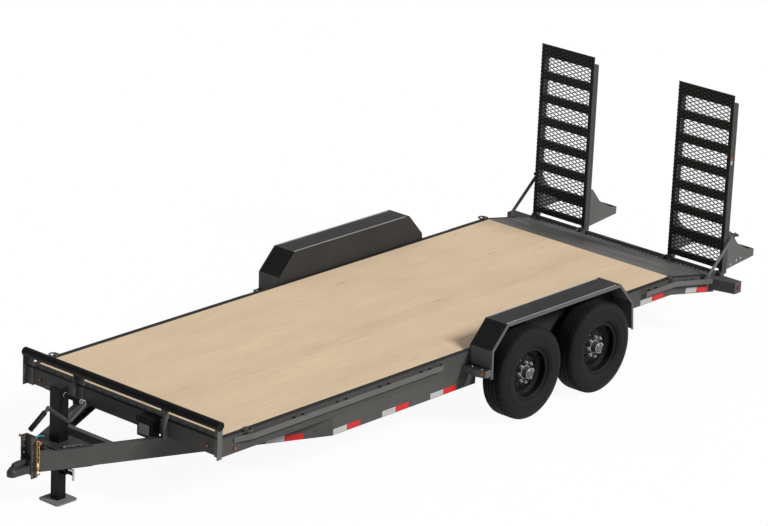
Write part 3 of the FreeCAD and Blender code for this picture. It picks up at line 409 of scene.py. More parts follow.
def level_split_effect():
    """Two colours that meet at a height, or at a place along or across; past the bend the height falls."""
    inputs = {
        "Below": (0.1, 0.1, 0.1), "Above": (0.02, 0.02, 0.02), "Level": 0.6, "Bend": 2.76, "Fall": 0.0,
        "Along": 0.0, "Across": 0.0,
    }
    group, given, end = effect("Level split", inputs, ("Colour",))
    place = place_in_object(group)
    past = calculate(group, "SUBTRACT", place["X"], given["Bend"])
    past = calculate(group, "MAXIMUM", past, 0.0)
    drop = calculate(group, "MULTIPLY", past, given["Fall"])
    level = calculate(group, "SUBTRACT", given["Level"], drop)
    reach = span(group, given["Along"], 0.0, 1.0, place["Z"], place["X"])
    aside = calculate(group, "ABSOLUTE", place["Y"])
    reach = span(group, given["Across"], 0.0, 1.0, reach, aside)
    over = calculate(group, "SUBTRACT", reach, level)
    mask = span(group, over, -0.0004, 0.0004, 0.0, 1.0)
    feed(group, end, Colour=blend_colours(group, mask, given["Below"], given["Above"]))
    return group


def board_effect():
    """Long grain, a tone of its own for each board and a few knots."""
    low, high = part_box("deck_boards")
    group, given, end = effect(
        "Deck boards", {"Colour": (0.6, 0.45, 0.3), "Boards": 11.0},
    )
    across = span(group, place_in_object(group)["Y"], low.y, high.y, 0.0, given["Boards"])
    tone = added_node(group, "TexWhiteNoise")
    tone.noise_dimensions = "1D"
    feed(group, tone, W=calculate(group, "FLOOR", across))
    shifted = added_node(group, "VectorMath")
    shifted.operation = "ADD"
    give(group, shifted.inputs[0], object_space(group, (0.9, 26.0, 26.0)))
    give(group, shifted.inputs[1], tone.outputs["Color"])
    grain = noise(group, shifted.outputs["Vector"], scale=3.0, detail=6.0, roughness=0.6)
    fine = noise(group, object_space(group, (4.0, 160.0, 160.0)), scale=3.0)
    cloud = noise(group, object_space(group, (0.8, 2.2, 1.0)), scale=2.0)
    knots = added_node(group, "TexVoronoi", Scale=1.0, Vector=object_space(group, (1.1, 5.2, 5.2)))
    value = span(group, grain, 0.32, 0.68, 0.93, 1.05)
    for factor in (
        span(group, fine, 0.3, 0.7, 0.975, 1.02),
        span(group, tone.outputs["Value"], 0.0, 1.0, 0.975, 1.025),
        span(group, cloud, 0.3, 0.7, 0.96, 1.05),
        span(group, knots.outputs["Distance"], 0.02, 0.09, 0.72, 1.0),
    ):
        value = calculate(group, "MULTIPLY", value, factor)
    feed(
        group, end,
        Colour=shaded(group, given["Colour"], value),
        Roughness=span(group, grain, 0.3, 0.7, 0.62, 0.78),
        Normal=bump(group, grain, distance=0.0012, strength=0.5),
    )
    return group


def rubber_effect():
    """Dull bloom on rubber with fine moulding texture."""
    group, given, end = effect(
        "Rubber bloom", {"Colour": (0.012, 0.012, 0.012), "Bloom": 0.4},
    )
    vector = object_space(group)
    cloud = noise(group, vector, scale=7.0, detail=4.0)
    fine = noise(group, vector, scale=260.0, detail=2.0)
    mask = calculate(group, "MULTIPLY", span(group, cloud, 0.35, 0.7, 0.0, 1.0), given["Bloom"])
    feed(
        group, end,
        Colour=blend_colours(group, mask, given["Colour"], (0.022, 0.0215, 0.020)),
        Roughness=span(group, cloud, 0.3, 0.7, 0.62, 0.8),
        Normal=bump(group, fine, distance=0.0003, strength=0.4),
    )
    return group


def cells_effect():
    """Honeycomb cells of reflective film or of a moulded lens."""
    group, given, end = effect(
        "Film cells", {"Colour": (0.6, 0.6, 0.6), "Cell scale": 140.0}, ("Colour", "Normal"),
    )
    cell = added_node(group, "TexVoronoi", Vector=object_space(group), Scale=given["Cell scale"])
    cell.feature = "DISTANCE_TO_EDGE"
    edge = cell.outputs["Distance"]
    feed(
        group, end,
        Colour=shaded(group, given["Colour"], span(group, edge, 0.0, 0.12, 0.86, 1.04)),
        Normal=bump(group, edge, distance=0.0003, strength=0.4),
    )
    return group


EFFECTS = {}
MATERIALS = {}


def effect_node(tree, name, values):
    node = added_node(tree, "Group")
    node.node_tree = EFFECTS[name]
    feed(tree, node, **values)
    return node


def finish_with(name, effect_name, values, specular, split=None, **shader_values):
    """A material: one effect group that feeds one Principled shader; split feeds the effect two colours."""
    material = bpy.data.materials.new(name)
    material.use_nodes = True
    tree = material.node_tree
    shader = tree.nodes["Principled BSDF"]
    feed(tree, shader, **{"Specular IOR Level": specular}, **shader_values)
    node = effect_node(tree, effect_name, values)
    if split:
        feed(tree, node, Colour=effect_node(tree, "split", split).outputs["Colour"])
    for label, target in (("Colour", "Base Color"), ("Roughness", "Roughness"), ("Normal", "Normal")):
        if label in node.outputs:
            feed(tree, shader, **{target: node.outputs[label]})
    MATERIALS[name] = material


def make_materials(paint):
    EFFECTS.update(
        coat=powder_coat_effect(), split=level_split_effect(), boards=board_effect(), rubber=rubber_effect(),
        cells=cells_effect(),
    )
    dust = (0.16, 0.15, 0.135)
    grey, light = paint.frame_grey, paint.lit_frame_grey
    # columns: name, colour, dust amount, roughness, specular level, metallic
    coats = (
        ("frame paint", grey, 0.10, 0.46, 0.22, 0.0),
        # lit frame paint: the frame paint made lighter, a painted highlight
        ("lit frame paint", light, 0.10, 0.46, 0.22, 0.0),
        # dark plate: its own dark colour on the tread tops and cleats, and painted shade on the jack mount
        ("dark plate", (0.030, 0.0305, 0.032), 0.04, 0.42, 0.18, 0.0),
        ("black paint", paint.black, 0.02, 0.42, 0.12, 0.0),
        ("black mesh", (0.010, 0.010, 0.010), 0.02, 0.5, 0.12, 0.0),
        ("wheel paint", (0.0062, 0.0062, 0.0065), 0.03, 0.42, 0.11, 0.0),
        ("underside black", (0.012, 0.012, 0.012), 0.12, 0.58, 0.12, 0.0),
        # Fender slopes: a darker copy of the tread plate, painted shade
        ("shaded slope plate", (0.0105, 0.0105, 0.0110), 0.03, 0.46, 0.12, 0.0),
        ("zinc steel", (0.46, 0.46, 0.45), 0.06, 0.38, 0.5, 0.7),
        ("hub steel", (0.10, 0.10, 0.098), 0.08, 0.42, 0.4, 0.4),
        ("gold zinc", (0.50, 0.29, 0.075), 0.05, 0.34, 0.5, 0.6),
        ("cast black", (0.032, 0.0315, 0.031), 0.05, 0.38, 0.30, 0.0),
        # Near-white studs: painted highlights along the tread plate's edges
        ("painted highlight stud", (0.78, 0.78, 0.77), 0.04, 0.40, 0.3, 0.0),
        ("box plastic", (0.0090, 0.0090, 0.0095), 0.03, 0.55, 0.15, 0.0),
        ("box panel", (0.25, 0.245, 0.235), 0.05, 0.50, 0.2, 0.0),
        ("teal sleeve", (0.03, 0.36, 0.42), 0.02, 0.45, 0.4, 0.0),
    )
    for name, tone, amount, rough, specular, metallic in coats:
        values = {"Colour": tone, "Dust": dust, "Dust amount": amount, "Roughness": rough}
        finish_with(name, "coat", values, specular, Metallic=metallic)
    deck_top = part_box("deck_boards")[1]
    foot_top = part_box("jack_leg")[0].z + FOOT_PLATE
    ramp_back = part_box("ramp_mesh_right")[1].x + RAMP_DEPTH
    bracket_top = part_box("fender_brackets")[1].z - 0.0006
    fender_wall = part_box("fender_right")[0].y + 0.012
    # Near black for the tops of the side rails, header, dovetail and fender brackets: painted shade on the top faces
    painted_top_shade = (0.0165, 0.0170, 0.0180)
    # columns: name, tone below, tone above, level, other inputs of the split
    splits = (
        # rail paint: frame grey on the sides, and painted shade on the tops above the deck's level
        ("rail paint", grey, painted_top_shade, deck_top.z - 0.0012, {"Fall": DOVETAIL_DROP / DOVETAIL_RUN}),
        ("leg paint", (0.18, 0.18, 0.177), (0.0035, 0.0035, 0.0036), foot_top, {}),
        ("ramp paint", (0.050, 0.049, 0.047), light, ramp_back, {"Along": 1.0}),
        # bracket paint: lit frame paint on the sides, and painted shade on the tops
        ("bracket paint", light, painted_top_shade, bracket_top, {}),
        # fender paint: the wall towards the deck, nearer the middle than the level, is dark as painted shade; the
        # rest is lit frame paint
        ("fender paint", (0.031, 0.0305, 0.0295), light, fender_wall, {"Across": 1.0}),
    )
    for name, below, above, level, others in splits:
        finish_with(
            name, "coat", {"Dust": dust, "Dust amount": 0.02, "Roughness": 0.46}, 0.14,
            {"Below": below, "Above": above, "Level": level, "Bend": deck_top.x, **others},
        )
    finish_with("timber", "boards", {"Colour": paint.timber}, 0.25)
    finish_with("tyre rubber", "rubber", {"Colour": paint.rubber}, 0.12)
    # columns: name, colour, cell scale, roughness
    films = (
        ("white tape", paint.tape_white, 150.0, 0.35),
        ("red tape", paint.tape_red, 150.0, 0.35),
        ("amber lens", (0.45, 0.125, 0.012), 260.0, 0.16),
        ("red lens", (0.34, 0.010, 0.010), 260.0, 0.16),
    )
    for name, tone, scale, rough in films:
        shader = {"Roughness": rough, "Coat Weight": 0.12}
        finish_with(name, "cells", {"Colour": tone, "Cell scale": scale}, 0.25, **shader)


def finish_of(node):
    """The finish of each frame node that keeps its own shape."""
    # The first row with a start of the node's name decides
    table = (
        ("leg paint", "jack_leg"),
        ("black paint", "front_pipe", "jack_tube"),
        ("ramp paint", "ramp_frame"),
        ("bracket paint", "fender_brackets"),
        ("black mesh", "ramp_mesh"),
        ("rail paint", "side_rail", "header"),
        ("fender paint", "fender_left", "fender_right"),
        # Rub rails, ramp braces, front posts and dovetail floor: lit frame paint, a painted highlight
        ("lit frame paint", "rub_rail", "ramp_brace", "front_posts", "dovetail_floor"),
        ("frame paint", "coupler_channel"),
        ("cast black", "coupler"),
        # jack_mount: the dark plate here is painted shade between the tongue beams
        ("dark plate", "jack_mount"),
        ("underside black", "axle_", "leaf_springs", "spring_hangers", "equalizers", "crossmembers"),
        ("tyre rubber", "tyre_"),
        ("wheel paint", "wheel_"),
        ("hub steel", "hub_"),
        ("timber", "deck_boards"),
        ("zinc steel", "jack_pin"),
        ("gold zinc", "safety_chains"),
        ("box plastic", "junction_box"),
        ("amber lens", "amber_lamps"),
        ("red lens", "red_lamps"),
    )
    for name, *starts in table:
        if node.startswith(tuple(starts)):
            return MATERIALS[name]
    return MATERIALS["frame paint"]


class TRAILER_OT_finishes(bpy.types.Operator):
    """Mixes the paints and puts one on every part of the frame"""

    bl_idname = "trailer.finishes"
    bl_label = "Finishes"

    def execute(self, context):
        make_materials(context.scene.trailer_paint)
        for name, node in NODES.items():
            node.data.materials.clear()
            node.data.materials.append(finish_of(name))
        return {"FINISHED"}


def tyre_section(half, groove):
    """Half section of the tyre as (radius, out) from the bead to the middle of the tread."""
    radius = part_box("tyre_front_left")[1].z / 2.0
    bead = 0.203
    # Each pair is a rise from the bead or a depth below the tread, then a place out or a depth below the side
    lip = ((0.0, 0.066), (0.006, 0.079), (0.017, 0.092))
    sidewall = (
        (0.020, 0.0155), (0.040, 0.006), (0.043, 0.003), (0.062, 0.0), (0.085, 0.0003), (0.088, 0.003),
        (0.108, 0.0035), (0.111, 0.0015),
    )
    shoulder = ((0.052, 0.006), (0.030, 0.013), (0.016, 0.021), (0.007, 0.030), (0.0022, 0.040))
    tread = (
        (0.0008, 0.062), (groove, 0.060), (groove, 0.052), (0.0004, 0.050), (0.0, 0.024), (groove, 0.022),
        (groove, 0.014), (0.0, 0.012),
    )
    section = [(bead + rise, out) for rise, out in lip]
    section += [(bead + rise, half - depth) for rise, depth in sidewall]
    section += [(radius - fall, half - depth) for fall, depth in shoulder]
    return section + [(radius - fall, out) for fall, out in tread]


def turn_tyre(sizes, wheel):
    name = "tyre_" + wheel
    low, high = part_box(name)
    middle = (low + high) / 2.0
    half = (high.y - low.y) / 2.0
    section = tyre_section(half, sizes.groove)
    outline = section + [(radius, -out) for radius, out in reversed(section)]
    deselect_all()
    bpy.ops.mesh.primitive_circle_add(vertices=len(outline), radius=half, location=middle)
    piece = bpy.context.active_object
    for vertex, (radius, out) in zip(piece.data.vertices, outline):
        vertex.co = Vector((0.0, out, radius))
    settle(piece)
    edit(piece)
    bpy.ops.mesh.spin(steps=sizes.tread_steps, angle=2.0 * math.pi, center=middle, axis=(0.0, 1.0, 0.0))
    leave_edit()
    cleaned(piece, 0.0001)
    # Every third step of both shoulders is sunk between two blocks
    shoulder_radius = high.z / 2.0 - 0.018
    shoulder_out = 0.062
    step = 2.0 * math.pi / sizes.tread_steps
    picks = []
    for face in piece.data.polygons:
        offset = face.center - middle
        turn = math.atan2(offset.z, offset.x) / step
        shoulder = math.hypot(offset.x, offset.z) > shoulder_radius and abs(offset.y) > shoulder_out
        picks.append(shoulder and int(math.floor(turn + 0.5)) % 3 == 0)
    pick_faces(piece, picks)
    bpy.ops.mesh.extrude_region_shrink_fatten(TRANSFORM_OT_shrink_fatten={"value": -sizes.groove * 0.22})
    leave_edit()
    hand_over([piece], name + "_rubber", "wheel_set_" + wheel, "tyre rubber", [name], 35.0)


class TRAILER_OT_tyres(bpy.types.Operator):
    """Turns the four tyres with their grooves, shoulder blocks and sidewall rings"""

    bl_idname = "trailer.tyres"
    bl_label = "Tyres"

    def execute(self, context):
        for place in PLACES:
            for side in SIDES:
                turn_tyre(context.scene.trailer_sizes, place + "_" + side)
        return {"FINISHED"}


def add_nuts(wheel, sign, middle):
    """Eight nuts, each with its washer and the end of its stud, and two rings round the hub."""
    nuts = 8
    circle_radius = 0.1651 / 2.0
    nut_radius = 0.0275 / 2.0 / math.cos(math.pi / 6.0)
    nut_height = 0.021
    seat = middle.y + sign * 0.0315
    pieces = []
    for index in range(nuts):
        angle = index * 2.0 * math.pi / nuts
        x = middle.x + circle_radius * math.cos(angle)
        z = middle.z + circle_radius * math.sin(angle)
        place = (x, seat + sign * nut_height / 2.0, z)
        pieces.append(bolt_head(place, nut_radius, nut_height, 0.002, (QUARTER, angle, 0.0)))
        pieces.append(ring((x, seat + sign * 0.001, z), 0.0135, 0.0020, "Y", 16, 6))
        pieces.append(round_bar((x, seat + sign * 0.018, z), (x, seat + sign * 0.0275, z), 0.0068, 12))
    for out, major, minor in ((0.084, 0.0425, 0.0032), (0.036, 0.0545, 0.0036)):
        pieces.append(ring((middle.x, middle.y + sign * out, middle.z), major, minor, "Y", 32, 8))
    hand_over(pieces, "nuts_" + wheel, "wheel_set_" + wheel, "zinc steel", angle=30.0)


def add_valve(wheel, sign, middle):
    stem = Vector((middle.x + 0.150, middle.y + sign * 0.030, middle.z + 0.100))
    valve = round_bar(stem, stem + Vector((-0.004, sign * 0.034, -0.003)), 0.0042, 12)
    modify(valve, "BEVEL", width=0.0012, segments=2)
    hand_over([valve], "valve_" + wheel, "wheel_set_" + wheel, "tyre rubber", angle=30.0)


class TRAILER_OT_wheel_fittings(bpy.types.Operator):
    """Sets hexagon nuts, stud ends, a grease cap lip and a valve on every wheel"""

    bl_idname = "trailer.wheel_fittings"
    bl_label = "Wheel fittings"

    def execute(self, context):
        for place in PLACES:
            for side, sign in SIDES.items():
                low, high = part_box("tyre_" + place + "_" + side)
                add_nuts(place + "_" + side, sign, (low + high) / 2.0)
                add_valve(place + "_" + side, sign, (low + high) / 2.0)
        return {"FINISHED"}


def keep_inside(piece, low, high):
    """Cuts a flat piece back to a rectangle in the Y-Z plane."""
    edit(piece)
    cuts = (
        ((0.0, low.y, 0.0), (0.0, -1.0, 0.0)), ((0.0, high.y, 0.0), (0.0, 1.0, 0.0)),
        ((0.0, 0.0, low.z), (0.0, 0.0, -1.0)), ((0.0, 0.0, high.z), (0.0, 0.0, 1.0)),
    )
    for place, normal in cuts:
        bpy.ops.mesh.select_all(action="SELECT")
        bpy.ops.mesh.bisect(plane_co=place, plane_no=normal, clear_outer=True, clear_inner=False)
    leave_edit()


def weave_ramp(sizes, side):
    """Strands that stand for one ramp's face: a cell of the mesh in rows, cut to the face."""
    wide = sizes.mesh_wide
    tall = sizes.mesh_tall
    node = "ramp_mesh_" + side
    low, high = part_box(node)
    deselect_all()
    bpy.ops.mesh.primitive_circle_add(vertices=4, radius=0.5, fill_type="NGON", rotation=(0.0, QUARTER, 0.0))
    cell = added()
    cell.scale = (1.0, wide, tall)
    settle(cell)
    edit(cell)
    bpy.ops.mesh.inset(thickness=sizes.mesh_strand / 2.0, depth=0.0)
    bpy.ops.mesh.bevel(offset=0.010, affect="VERTICES", segments=2)
    bpy.ops.mesh.delete(type="FACE")
    leave_edit()
    second = moved(copied(cell), (0.0, wide / 2.0, tall / 2.0))
    strands = joined([cell, second], node + "_strands")
    moved(strands, (low.x + 0.0002, low.y, low.z))
    repeat(strands, int((high.y - low.y) / wide) + 2, (0.0, wide, 0.0))
    repeat(strands, int((high.z - low.z) / tall) + 2, (0.0, 0.0, tall))
    keep_inside(strands, low, high)
    cleaned(strands, 0.0001)
    modify(strands, "SOLIDIFY", thickness=0.0034, offset=0.0)
    moved(strands, (0.0018, 0.0, 0.0))
    hand_over([strands], node + "_strands", "ramp_" + side, "black mesh", [node])


class TRAILER_OT_ramp_mesh(bpy.types.Operator):
    """Weaves the expanded-metal faces of the two ramps"""

    bl_idname = "trailer.ramp_mesh"
    bl_label = "Ramp mesh"

    def execute(self, context):
        for side in SIDES:
            weave_ramp(context.scene.trailer_sizes, side)
        return {"FINISHED"}


def tape_strip(corner, along, up, out, length, height):
    """One block of tape that lies on a face: a thin slab with eased edges."""
    centre = corner + along * (length / 2.0) + up * (height / 2.0) + out * 0.0004
    turn = Matrix((along, up, out)).transposed().to_euler()
    return block(centre, (length, height, 0.0006), 0.0002, 1, turn)


def side_strips(sizes, side, sign):
    """Pairs of a white and a red block along the tongue, the side rail and the dovetail."""
    length = sizes.tape_block
    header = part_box("header")[0]
    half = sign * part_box("side_rail_right")[1].y
    lift = 0.003
    rail_z = header.z + lift
    beam_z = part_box("tongue_beam_right")[0].z + lift
    slope = math.atan2(DOVETAIL_DROP, DOVETAIL_RUN)
    taper = math.atan2(TONGUE_REACH, TONGUE_RUN)
    down = Vector((math.cos(slope), 0.0, -math.sin(slope)))
    slope_up = Vector((math.sin(slope), 0.0, math.cos(slope)))
    bend = Vector((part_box("deck_boards")[1].x, half, rail_z))
    out = Vector((0.0, sign, 0.0))
    angled = Vector((math.cos(taper), sign * math.sin(taper), 0.0))
    angled_out = Vector((-math.sin(taper), sign * math.cos(taper), 0.0))
    joint = Vector((header.x + TONGUE_END, half, beam_z))
    # columns: first corner, direction along, direction up, way out of the face
    runs = [(joint - angled * 0.557, angled, UP, angled_out), (bend + down * 0.195, down, slope_up, out)]
    for x, z in ((-1.482, beam_z), (-0.917, beam_z), (-0.347, beam_z), (2.329, rail_z)):
        runs.append((Vector((x, half, z)), ALONG, UP, out))
    for index, tone in enumerate(("white", "red")):
        strips = [
            tape_strip(corner + along * length * index, along, rise, way, length, sizes.tape_height)
            for corner, along, rise, way in runs
        ]
        hand_over(strips, "tape_" + tone + "_" + side, "bed", tone + " tape")


def ramp_strips(side, sign):
    """Short strips on the outer rail of each ramp."""
    low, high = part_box("ramp_frame_" + side)
    edge = high.y if sign > 0 else low.y
    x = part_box("ramp_mesh_" + side)[1].x + 0.012
    for tone, z, height in (("red", 1.540, 0.022), ("white", 1.495, 0.036)):
        strip = tape_strip(Vector((x, edge, z)), ALONG, UP, Vector((0.0, sign, 0.0)), 0.022, height)
        hand_over([strip], "ramp_tape_" + tone + "_" + side, "ramp_" + side, tone + " tape")


class TRAILER_OT_tape(bpy.types.Operator):
    """Lays the red and white reflective tape along both sides"""

    bl_idname = "trailer.tape"
    bl_label = "Reflective tape"

    def execute(self, context):
        for side, sign in SIDES.items():
            side_strips(context.scene.trailer_sizes, side, sign)
            ramp_strips(side, sign)
        return {"FINISHED"}


def lozenges(length, width, pitch):
    """A row-by-row field of raised lozenges, as on tread plate, round the origin."""
    fields = []
    columns = max(1, int(length / pitch))
    rows = max(1, int(width / pitch))
    for index, turn in enumerate((math.radians(45.0), math.radians(-45.0))):
        deselect_all()
        bpy.ops.mesh.primitive_circle_add(vertices=8, radius=0.5, fill_type="NGON")
        piece = added((0.024, 0.0065, 1.0))
        edit(piece)
        bpy.ops.mesh.extrude_region_move(TRANSFORM_OT_translate={"value": (0.0, 0.0, 0.0014)})
        bpy.ops.transform.resize(value=(0.75, 0.5, 1.0))
        leave_edit()
        piece.rotation_euler = (0.0, 0.0, turn)
        settle(piece)
        shift = pitch / 2.0 * index
        moved(piece, (shift - (columns - 1) * pitch / 2.0, shift - (rows - 1) * pitch / 2.0, 0.0))
        repeat(piece, columns - index, (pitch, 0.0, 0.0))
        repeat(piece, rows - index, (0.0, pitch, 0.0))
        fields.append(piece)
    return joined(fields, "tread_field")


def lay_plates():
    low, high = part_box("fender_right")
    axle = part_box("tyre_front_right")[1].z / 2.0
    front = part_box("tyre_front_right")[0].x
    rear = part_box("tyre_rear_right")[1].x
    top = axle + 0.482
    edge_band = 0.010
    width = high.y - low.y - edge_band
    middle_y = low.y + width / 2.0
    # Corners of the fender in side view, as (x, z)
    corners = (
        (front - 0.068, axle + 0.293), (front + 0.114, top), (rear - 0.105, top), (rear + 0.073, axle + 0.286),
    )
    sheets = []
    for (ax, az), (bx, bz) in zip(corners, corners[1:]):
        run = math.hypot(bx - ax, bz - az)
        sheet = block((0.0, 0.0, 0.0006), (run - 0.004, width, 0.0012), 0.0004)
        field = moved(lozenges(run - 0.03, width - 0.02, 0.036), (0.0, 0.0, 0.0011))
        plate = joined([sheet, field], "sheet")
        plate.rotation_euler = (0.0, -math.atan2(bz - az, bx - ax), 0.0)
        settle(plate)
        sheets.append(moved(plate, ((ax + bx) / 2.0, middle_y, (az + bz) / 2.0)))
    start, end = corners[1][0], corners[2][0]
    stud_pitch = 0.026
    stud = bolt_head((start + 0.010, low.y + 0.008, top + 0.0026), 0.0058, 0.0040, 0.001, sides=8)
    repeat(stud, 2, (0.0, width - 0.014, 0.0))
    repeat(stud, int((end - start - 0.02) / stud_pitch), (stud_pitch, 0.0, 0.0))
    slopes = joined([sheets[0], sheets[2]], "tread_slopes_right")
    for piece, name, finish in (
        # The slopes take a darker copy of the top's plate, painted shade
        (sheets[1], "tread_top_", "dark plate"), (slopes, "tread_slopes_", "shaded slope plate"),
        # The studs' near-white is painted highlight
        (stud, "tread_studs_", "painted highlight stud"),
    ):
        twin = mirrored(piece)
        hand_over([piece], name + "right", "bed", finish)
        hand_over([twin], name + "left", "bed", finish)


class TRAILER_OT_tread_plate(bpy.types.Operator):
    """Lays the dark tread plate on the fenders, raises its pattern and studs its edges"""

    bl_idname = "trailer.tread_plate"
    bl_label = "Tread plate"

    def execute(self, context):
        lay_plates()
        return {"FINISHED"}


def chain_link(place, axis):
    """A round ring that is drawn out to a link."""
    stretch = 0.0135
    link = ring((0.0, 0.0, 0.0), 0.0116, 0.0042, axis, 24, 10)
    for vertex in link.data.vertices:
        vertex.co.z += stretch if vertex.co.z > 0.0 else -stretch
    return moved(link, place)


def chain_hook(x, y, eye_z, sign):
    """An eye, a shank and an open bow."""
    eye = ring((x, y, eye_z), 0.0095, 0.0040, "Y", 20, 8)
    shank = round_bar((x, y, eye_z - 0.008), (x, y, eye_z - 0.022), 0.0055, 12)
    bow = ring((x, y, eye_z - 0.036), 0.0165, 0.0052, "X", 24, 8)
    mouth_z = eye_z - 0.034
    faces = bow.data.polygons
    pick_faces(bow, [(face.center.y - y) * sign > 0.002 and face.center.z > mouth_z for face in faces])
    bpy.ops.mesh.delete(type="FACE")
    bpy.ops.mesh.select_all(action="SELECT")
    bpy.ops.mesh.fill_holes(sides=0)
    leave_edit()
    return [eye, shank, bow]


def forge_chains():
    low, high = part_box("safety_chains")
    links = 5
    pitch = 0.0413
    x = (low.x + high.x) / 2.0
    stud_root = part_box("coupler_channel")[1].y
    stud_tip = high.y
    stud_z = high.z - 0.0135
    top = stud_z - 0.015
    pieces = []
    for sign in SIDES.values():
        y = sign * (stud_root + stud_tip) / 2.0
        for inner, radius in ((stud_root, 0.0066), (stud_tip - 0.004, 0.0115)):
            pieces.append(round_bar((x, sign * inner, stud_z), (x, sign * stud_tip, stud_z), radius, 16))
        for index in range(links):
            pieces.append(chain_link((x, y, top - index * pitch), "Y" if index % 2 == 0 else "X"))
        pieces.extend(chain_hook(x, y, top - (links - 1) * pitch - 0.0285, sign))
    hand_over(pieces, "chain_links", "bed", "gold zinc", ["safety_chains"], 60.0)


class TRAILER_OT_chains(bpy.types.Operator):
    """Forges the round links and hooks of the safety chains"""

    bl_idname = "trailer.chains"
    bl_label = "Safety chains"

    def execute(self, context):
        forge_chains()
        return {"FINISHED"}


def lamp_grommets():
    """Rubber rings round the marker lamps of the header, the side rails and the rear light boxes."""
    low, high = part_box("header")
    lift = 0.002
    # columns: x, distance from the middle, z, axis
    places = (
        (low.x - lift, high.y - LAMP_INSET, 0.535, "X"),
        (low.x + 0.144, high.y + lift, 0.519, "Y"),
        (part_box("rear_channel")[1].x + 0.040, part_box("light_boxes")[1].y + lift, 0.4505, "Y"),
    )
    rings = []
    for sign in SIDES.values():
        for x, y, z, axis in places:
            rings.append(ring((x, sign * y, z), 0.0125, 0.0035, axis))
    hand_over(rings, "lamp_grommets", "bed", "box plastic", angle=60.0)


def header_top():
    """Row of round heads along the header's top, and the black moulding along the top of its face."""
    low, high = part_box("header")
    deck_low, deck_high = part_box("deck_boards")
    count = 22
    pitch = (deck_high.y - deck_low.y) / count
    place = (low.x + 0.016, deck_low.y + pitch / 2.0, deck_high.z + 0.0018)
    row = bolt_head(place, 0.0085, 0.004, 0.0015, sides=10)
    repeat(row, count, (0.0, pitch, 0.0))
    hand_over([row], "header_studs", "bed", "black paint")
    trim = block((low.x - 0.0035, 0.0, high.z - 0.011), (0.007, high.y - low.y, 0.016), 0.002, 2)
    hand_over([trim], "header_trim", "bed", "black paint")


def box_panel():
    """Raised front panel of the wiring box, and the clips that hold its lid."""
    low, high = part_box("junction_box")
    middle = (low.y + high.y) / 2.0
    place = (low.x - 0.0005, middle, (low.z + high.z) / 2.0 - 0.012)
    panel = block(place, (0.005, high.y - low.y - 0.062, high.z - low.z - 0.070), 0.0018, 2)
    hand_over([panel], "box_panel", "bed", "box panel")
    clips = []
    for y in (low.y + 0.035, middle, high.y - 0.035):
        clips.append(block((low.x + 0.004, y, high.z - 0.012), (0.018, 0.026, 0.034), 0.004, 2))
    hand_over(clips, "box_clips", "bed", "box plastic")


def lanyard():
    """Short breakaway lanyard by the coupler channel's top."""
    low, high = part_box("coupler_channel")
    root = Vector((high.x - 0.020, low.y, high.z))
    ends = [
        root + Vector(step)
        for step in ((0.0, -0.004, -0.006), (0.0, -0.004, 0.010), (0.030, -0.016, 0.012), (0.058, -0.032, 0.006))
    ]
    cable = [round_bar(start, end, 0.0042, 10) for start, end in zip(ends, ends[1:])]
    hand_over(cable, "lanyard", "bed", "teal sleeve", angle=60.0)


def gusset_bolts():
    """Three bolt heads along the bottom edge of each ramp's outer gusset."""
    low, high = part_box("ramp_frame_right")
    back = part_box("ramp_mesh_right")[1].x + RAMP_DEPTH
    for side, sign in SIDES.items():
        heads = []
        for along in (0.12, 0.34, 0.50):
            place = (back + (high.x - back) * along, sign * (high.y + 0.002), 0.560 + 0.075 * along)
            heads.append(bolt_head(place, 0.0085, 0.005, 0.001, (QUARTER, 0.0, 0.0)))
        hand_over(heads, "gusset_bolts_" + side, "ramp_" + side, "zinc steel")


def rear_cleats():
    """Low teeth along the dovetail's rear edge."""
    low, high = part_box("rear_channel")
    pitch = 0.045
    inset = 0.030
    cleats = block((high.x - 0.007, low.y + inset, high.z + 0.0005), (0.012, 0.036, 0.008), 0.0025)
    repeat(cleats, int((high.y - low.y - 2.0 * inset) / pitch), (0.0, pitch, 0.0))
    hand_over([cleats], "rear_cleats", "bed", "dark plate")


def bracket_bolts():
    """Two bolt heads on top of each fender bracket."""
    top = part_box("fender_brackets")[1].z
    heads = []
    for sign in SIDES.values():
        for x, y in ((0.055, 1.144), (0.048, 1.250)):
            heads.append(bolt_head((x, sign * y, top + 0.003), 0.010, 0.007, 0.0015))
    hand_over(heads, "bracket_bolts", "bed", "zinc steel")


